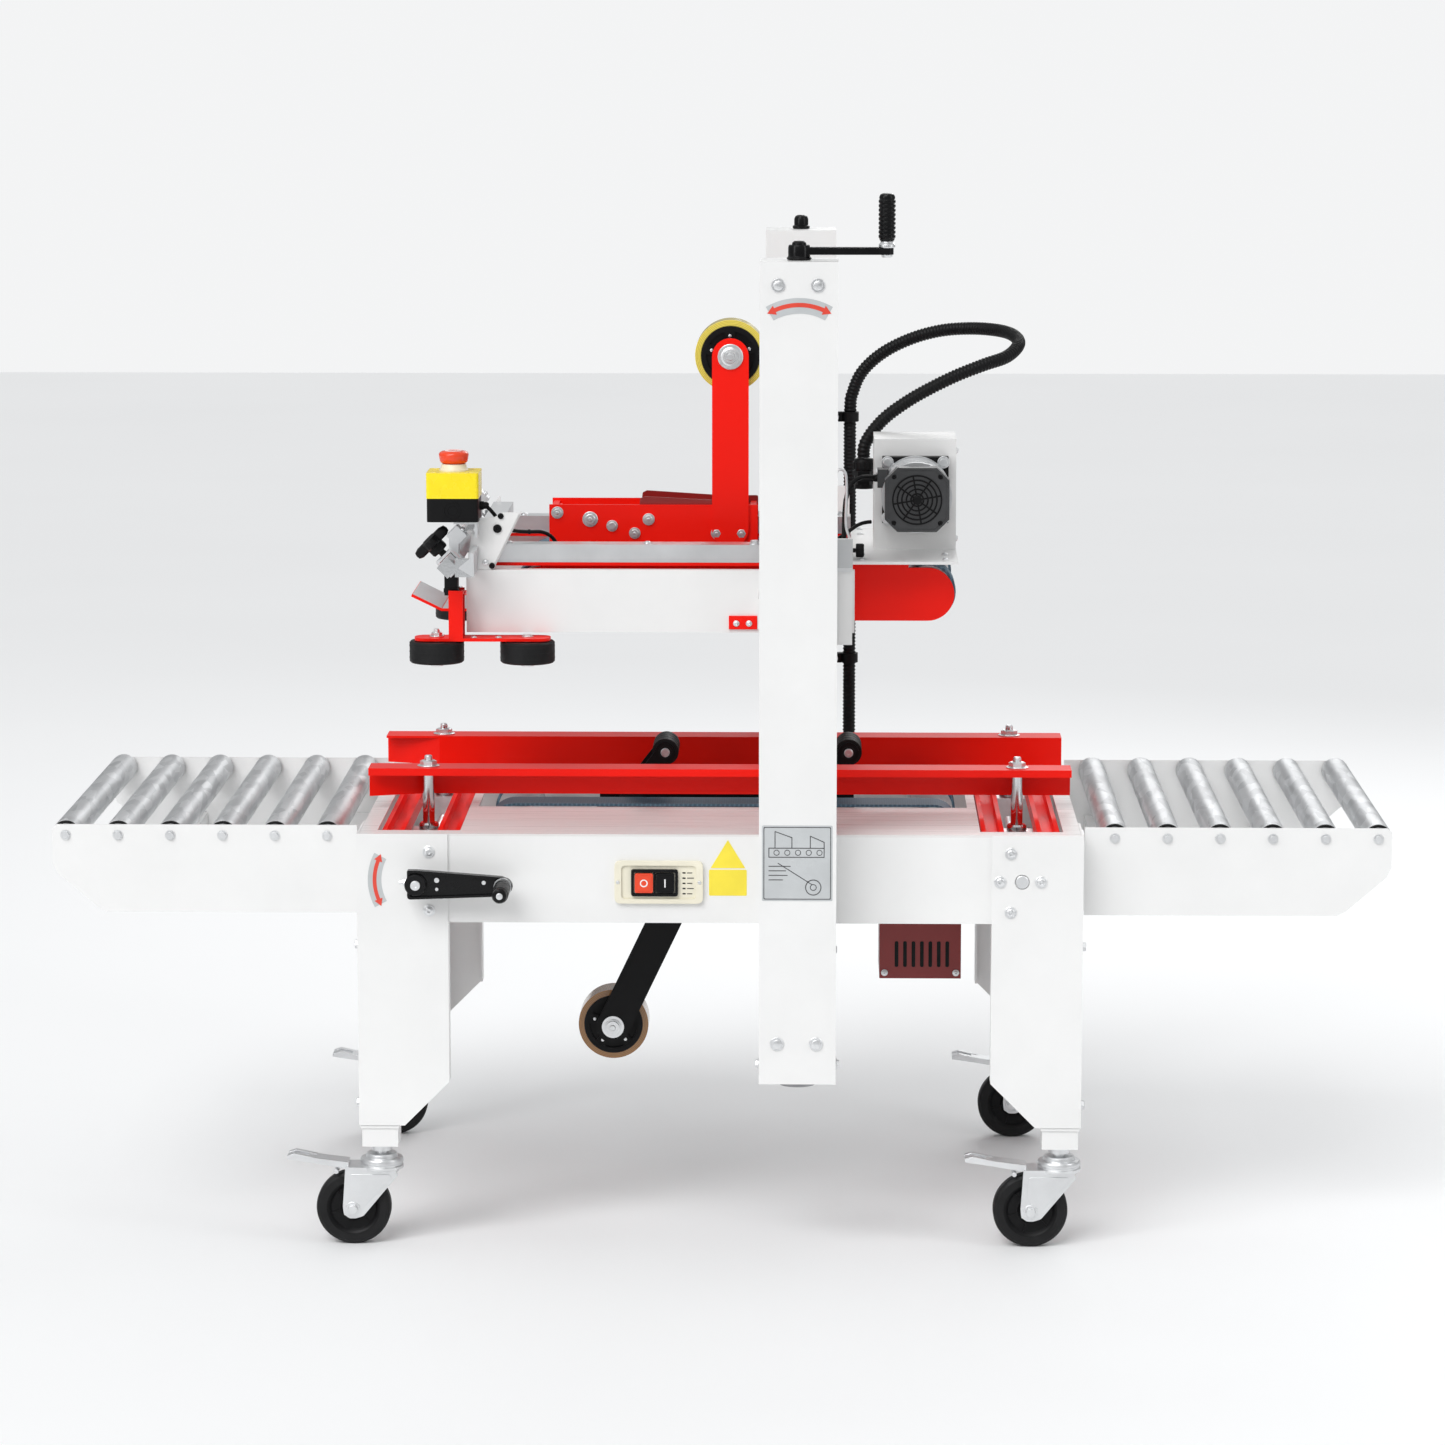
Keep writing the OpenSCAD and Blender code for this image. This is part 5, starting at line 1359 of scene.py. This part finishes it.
def chain_rollers():
    """Pins across the lower drive's chain, along its straight runs and bends."""
    links = Shape()
    outline = stadium((270, 400), (286, 529), 26, steps=16)
    pitch = 12.7
    for point in even_path([Vector((x, 0, z)) for x, z in outline + outline[:1]], pitch):
        place = axis_frame((point.x, 175.5, point.z), (0, 1, 0))
        links.lathe([(0.1, 0), (2.1, 0), (2.1, 7), (0.1, 7)], place, 0, 10)
    links.build("drive_chain_pins", "root", [STEEL], "motor_grey")


def under_bed_wiring():
    wires = Shape()
    for route, r in ((((-80, -330, 480), (-60, -320, 452), (0, -318, 449), (100, -316, 448), (170, -300, 447),
                       (190, -240, 444), (205, -180, 432), (212, -120, 420)), 3.2),
                     (((175, 340, 492), (172, 330, 470), (176, 316, 448), (190, 280, 441), (205, 200, 430),
                       (214, 150, 428)), 4.0),
                     (((160, -316, 446), (186, -290, 438), (200, -220, 425), (214, -140, 408)), 2.6)):
        wires.tube(even_path(route, 5), r, 0, 10)
    for x, y, z in ((0, -318, 449), (100, -316, 448)):
        wires.block((x - 6, y - 17, z - 5), (x + 6, y + 4, z - 3.6), 1)
    wires.prism(rounded([(196, 404), (214, 404), (214, 442.8), (160, 442.8), (160, 436), (190, 436)], 2),
                -118, -115, plane_frame("y"), 1)
    for x in (-99, -72):
        wires.block((x - 11, -335, 486), (x + 11, -322, 510), 0)
    wires.build("under_bed_wiring", "root", [BLACK_PLASTIC, WHITE], "black_plastic")


# ---------------------------------------------------------------- conduit

CONDUIT = [(175, 370, 520), (175, 370, 640), (175, 370, 740), (175, 370, 840), (175, 370, 940),
           (175, 370, 1058),
           (179, 370, 1088), (193, 368, 1118), (222, 362, 1145), (262, 352, 1166), (305, 336, 1179),
           (348, 310, 1184),
           (385, 270, 1184), (405, 225, 1180), (410, 180, 1171), (392, 140, 1157), (358, 115, 1147),
           (315, 100, 1131),
           (265, 90, 1106), (228, 79, 1082), (208, 70, 1063), (196, 64, 1046), (192, 62, 1034),
           (192, 62, 1022)]


def conduit():
    """Corrugated hose from the bed's junction box to the drive housing."""
    path = even_path(CONDUIT, 1.3)
    hose = Shape()
    pattern = (9.25, 9.25, 8.2, 8.2)
    ripple = [pattern[i % 4] for i in range(len(path))]
    hose.tube(path, 9, 0, 16, ripple)
    piece = hose.build("corrugated_conduit", None, [BLACK_PLASTIC], "black_plastic", sharp=60,
                       replaces=("conduit",))
    route = [tuple(p * MM) for p in even_path(CONDUIT, 40)] + [tuple(Vector(CONDUIT[-1]) * MM)]
    length = sum((Vector(b) - Vector(a)).length for a, b in zip(route, route[1:]))
    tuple(route[0])
    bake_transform(piece)


def conduit_clips():
    clips = Shape()
    for z in (1052, 700):
        clips.ring(12.6, 9.4, z - 7, z + 7, upright(*HOSE_FOOT), 0, 36)
        clips.block((154, 363, z - 7), (163.5, 377, z + 7), 0)
        clips.prism(rounded(box_outline(352, 388, z - 9, z + 9), 3), 154, 156.4, plane_frame("x"), 0)
        for y in (357, 383):
            dome_bolt(clips, (156.4, y, z), "right", 2.6, 1, 2)
    collar = upright(*HOSE_FOOT)
    clips.lathe([(9.4, 529), (11.6, 529), (13.6, 526.5), (13.6, 520.5), (15.2, 520.5), (15.2, 514.3)],
                collar, 0, 36)
    for x, z in ((162, 475), (192, 475), (162, 509), (192, 509)):
        dome_bolt(clips, (x, 390, z), "rear", 2.6, 1, 2)
    gland = axis_frame((-250, 338, 480), (0, 1, 0))
    clips.lathe([(14.4, 0), (16, 0.4), (16, 4.4), (14.2, 5)], gland, 0, 6)
    for k in range(4):
        clips.ring(11.3, 10.8, 6.4 + 2.4 * k, 7.4 + 2.4 * k, gland, 0, 36)
    clips.build("conduit_clips", "root", [BLACK_PLASTIC, ZINC], "black_plastic", bevel=0.3)


# ---------------------------------------------------------------- labels


def labels():
    signs = Shape()
    front = plane_frame("y")
    raising, widening = (104, 1190), (-388, CROSS_Z)
    signs.prism(arc_outline(raising, 66, 86, 60, 120), -426.35, -COLUMN_FACE, front, 0)
    curved_arrow(signs, raising, 77, 5.5, 66, 114, -426.6, -426.35, front, 1)
    signs.prism(arc_outline(widening, 60, 78, 152, 208), -341.35, -BED_FACE, front, 0)
    curved_arrow(signs, widening, 69, 5, 158, 202, -341.6, -341.35, front, 1)
    signs.prism(rounded(box_outline(-14, 36, 480, 515), 2), -338.35, -338, front, 2)
    signs.prism([(-12, 517), (34, 517), (11, 555)], -338.35, -338, front, 2)
    sheet = rounded(box_outline(57, 149, 490, 590), 2)
    signs.prism(sheet, -426.35, -COLUMN_FACE, front, 0)
    ring_prism(signs, rounded(box_outline(59, 147, 492, 588), 2), rounded(box_outline(60, 146, 493, 587), 2),
               -426.55, -426.35, front, 3)
    low, high = -426.55, -426.35
    strokes = [((66, 560), (138, 560)), ((66, 548), (138, 548)), ((66, 560), (66, 548)),
               ((138, 560), (138, 548)),
               ((74, 582), (74, 560)), ((96, 574), (74, 582)), ((96, 574), (96, 560)),
               ((120, 576), (120, 560)),
               ((120, 576), (138, 568)), ((138, 568), (138, 560)), ((78, 540), (122, 512)),
               ((66, 536), (94, 536)),
               ((66, 530), (88, 530)), ((66, 524), (90, 524)), ((66, 518), (84, 518))]
    for p, q in strokes:
        signs.prism(stadium(p, q, 0.55, steps=3), low, high, front, 3)
    signs.prism(arc_outline((124, 508), 9.4, 10.6, 0, 359.9, 36), low, high, front, 3)
    signs.prism(arc_outline((124, 508), 3.4, 4.4, 0, 359.9, 24), low, high, front, 3)
    for k in range(5):
        signs.prism(arc_outline((76 + 14 * k, 554), 3.0, 3.9, 0, 359.9, 18), low, high, front, 3)
    signs.build("machine_labels", "root", [GREY_LABEL, RED_LABEL, YELLOW_LABEL, DARK_PRINT], "white_paint")


# ---------------------------------------------------------------- floor


def floor():
    look = Look("studio_floor", (0.88, 0.885, 0.89), 0.6)
    look.tint(look.noise(0.6, 3), (0.86, 0.865, 0.87), (0.90, 0.905, 0.91))
    mesh = bpy.data.meshes.new("studio_floor")
    corners = [(-14, -9, 0), (14, -9, 0), (14, 14, 0), (-14, 14, 0)]
    mesh.from_pydata(corners, [], [(0, 1, 2, 3)])
    mesh.materials.append(look.material)
    piece = bpy.data.objects.new("studio_floor", mesh)
    bpy.context.scene.collection.objects.link(piece)


# ---------------------------------------------------------------- assembly

TAPE_UPPER = wound_film("yellow_tape_film", (0.82, 0.66, 0.10), (0.009, -0.006, 1.171))
TAPE_LOWER = wound_film("brown_tape_film", (0.36, 0.17, 0.05), (-0.154, -0.006, 0.239))

conduit()
paint_bed()
paint_drives()
paint_head()
paint_movers()
frame_fasteners()
roller_caps()
bed_details()
for front_or_rear, sign in SIDES:
    for left_or_right in ("left", "right"):
        caster_details(front_or_rear, left_or_right)
    guide_details(front_or_rear, sign)
    press_bracket(front_or_rear, sign)
width_crank()
right_screw()
lift_crank()
tape_roll("upper", UPPER_REEL, TAPE_UPPER)
tape_roll("lower", LOWER_REEL, TAPE_LOWER)
cartridge_details()
estop()
switches()
head_details()
drive_details()
chain_rollers()
under_bed_wiring()
conduit_clips()
labels()
floor()
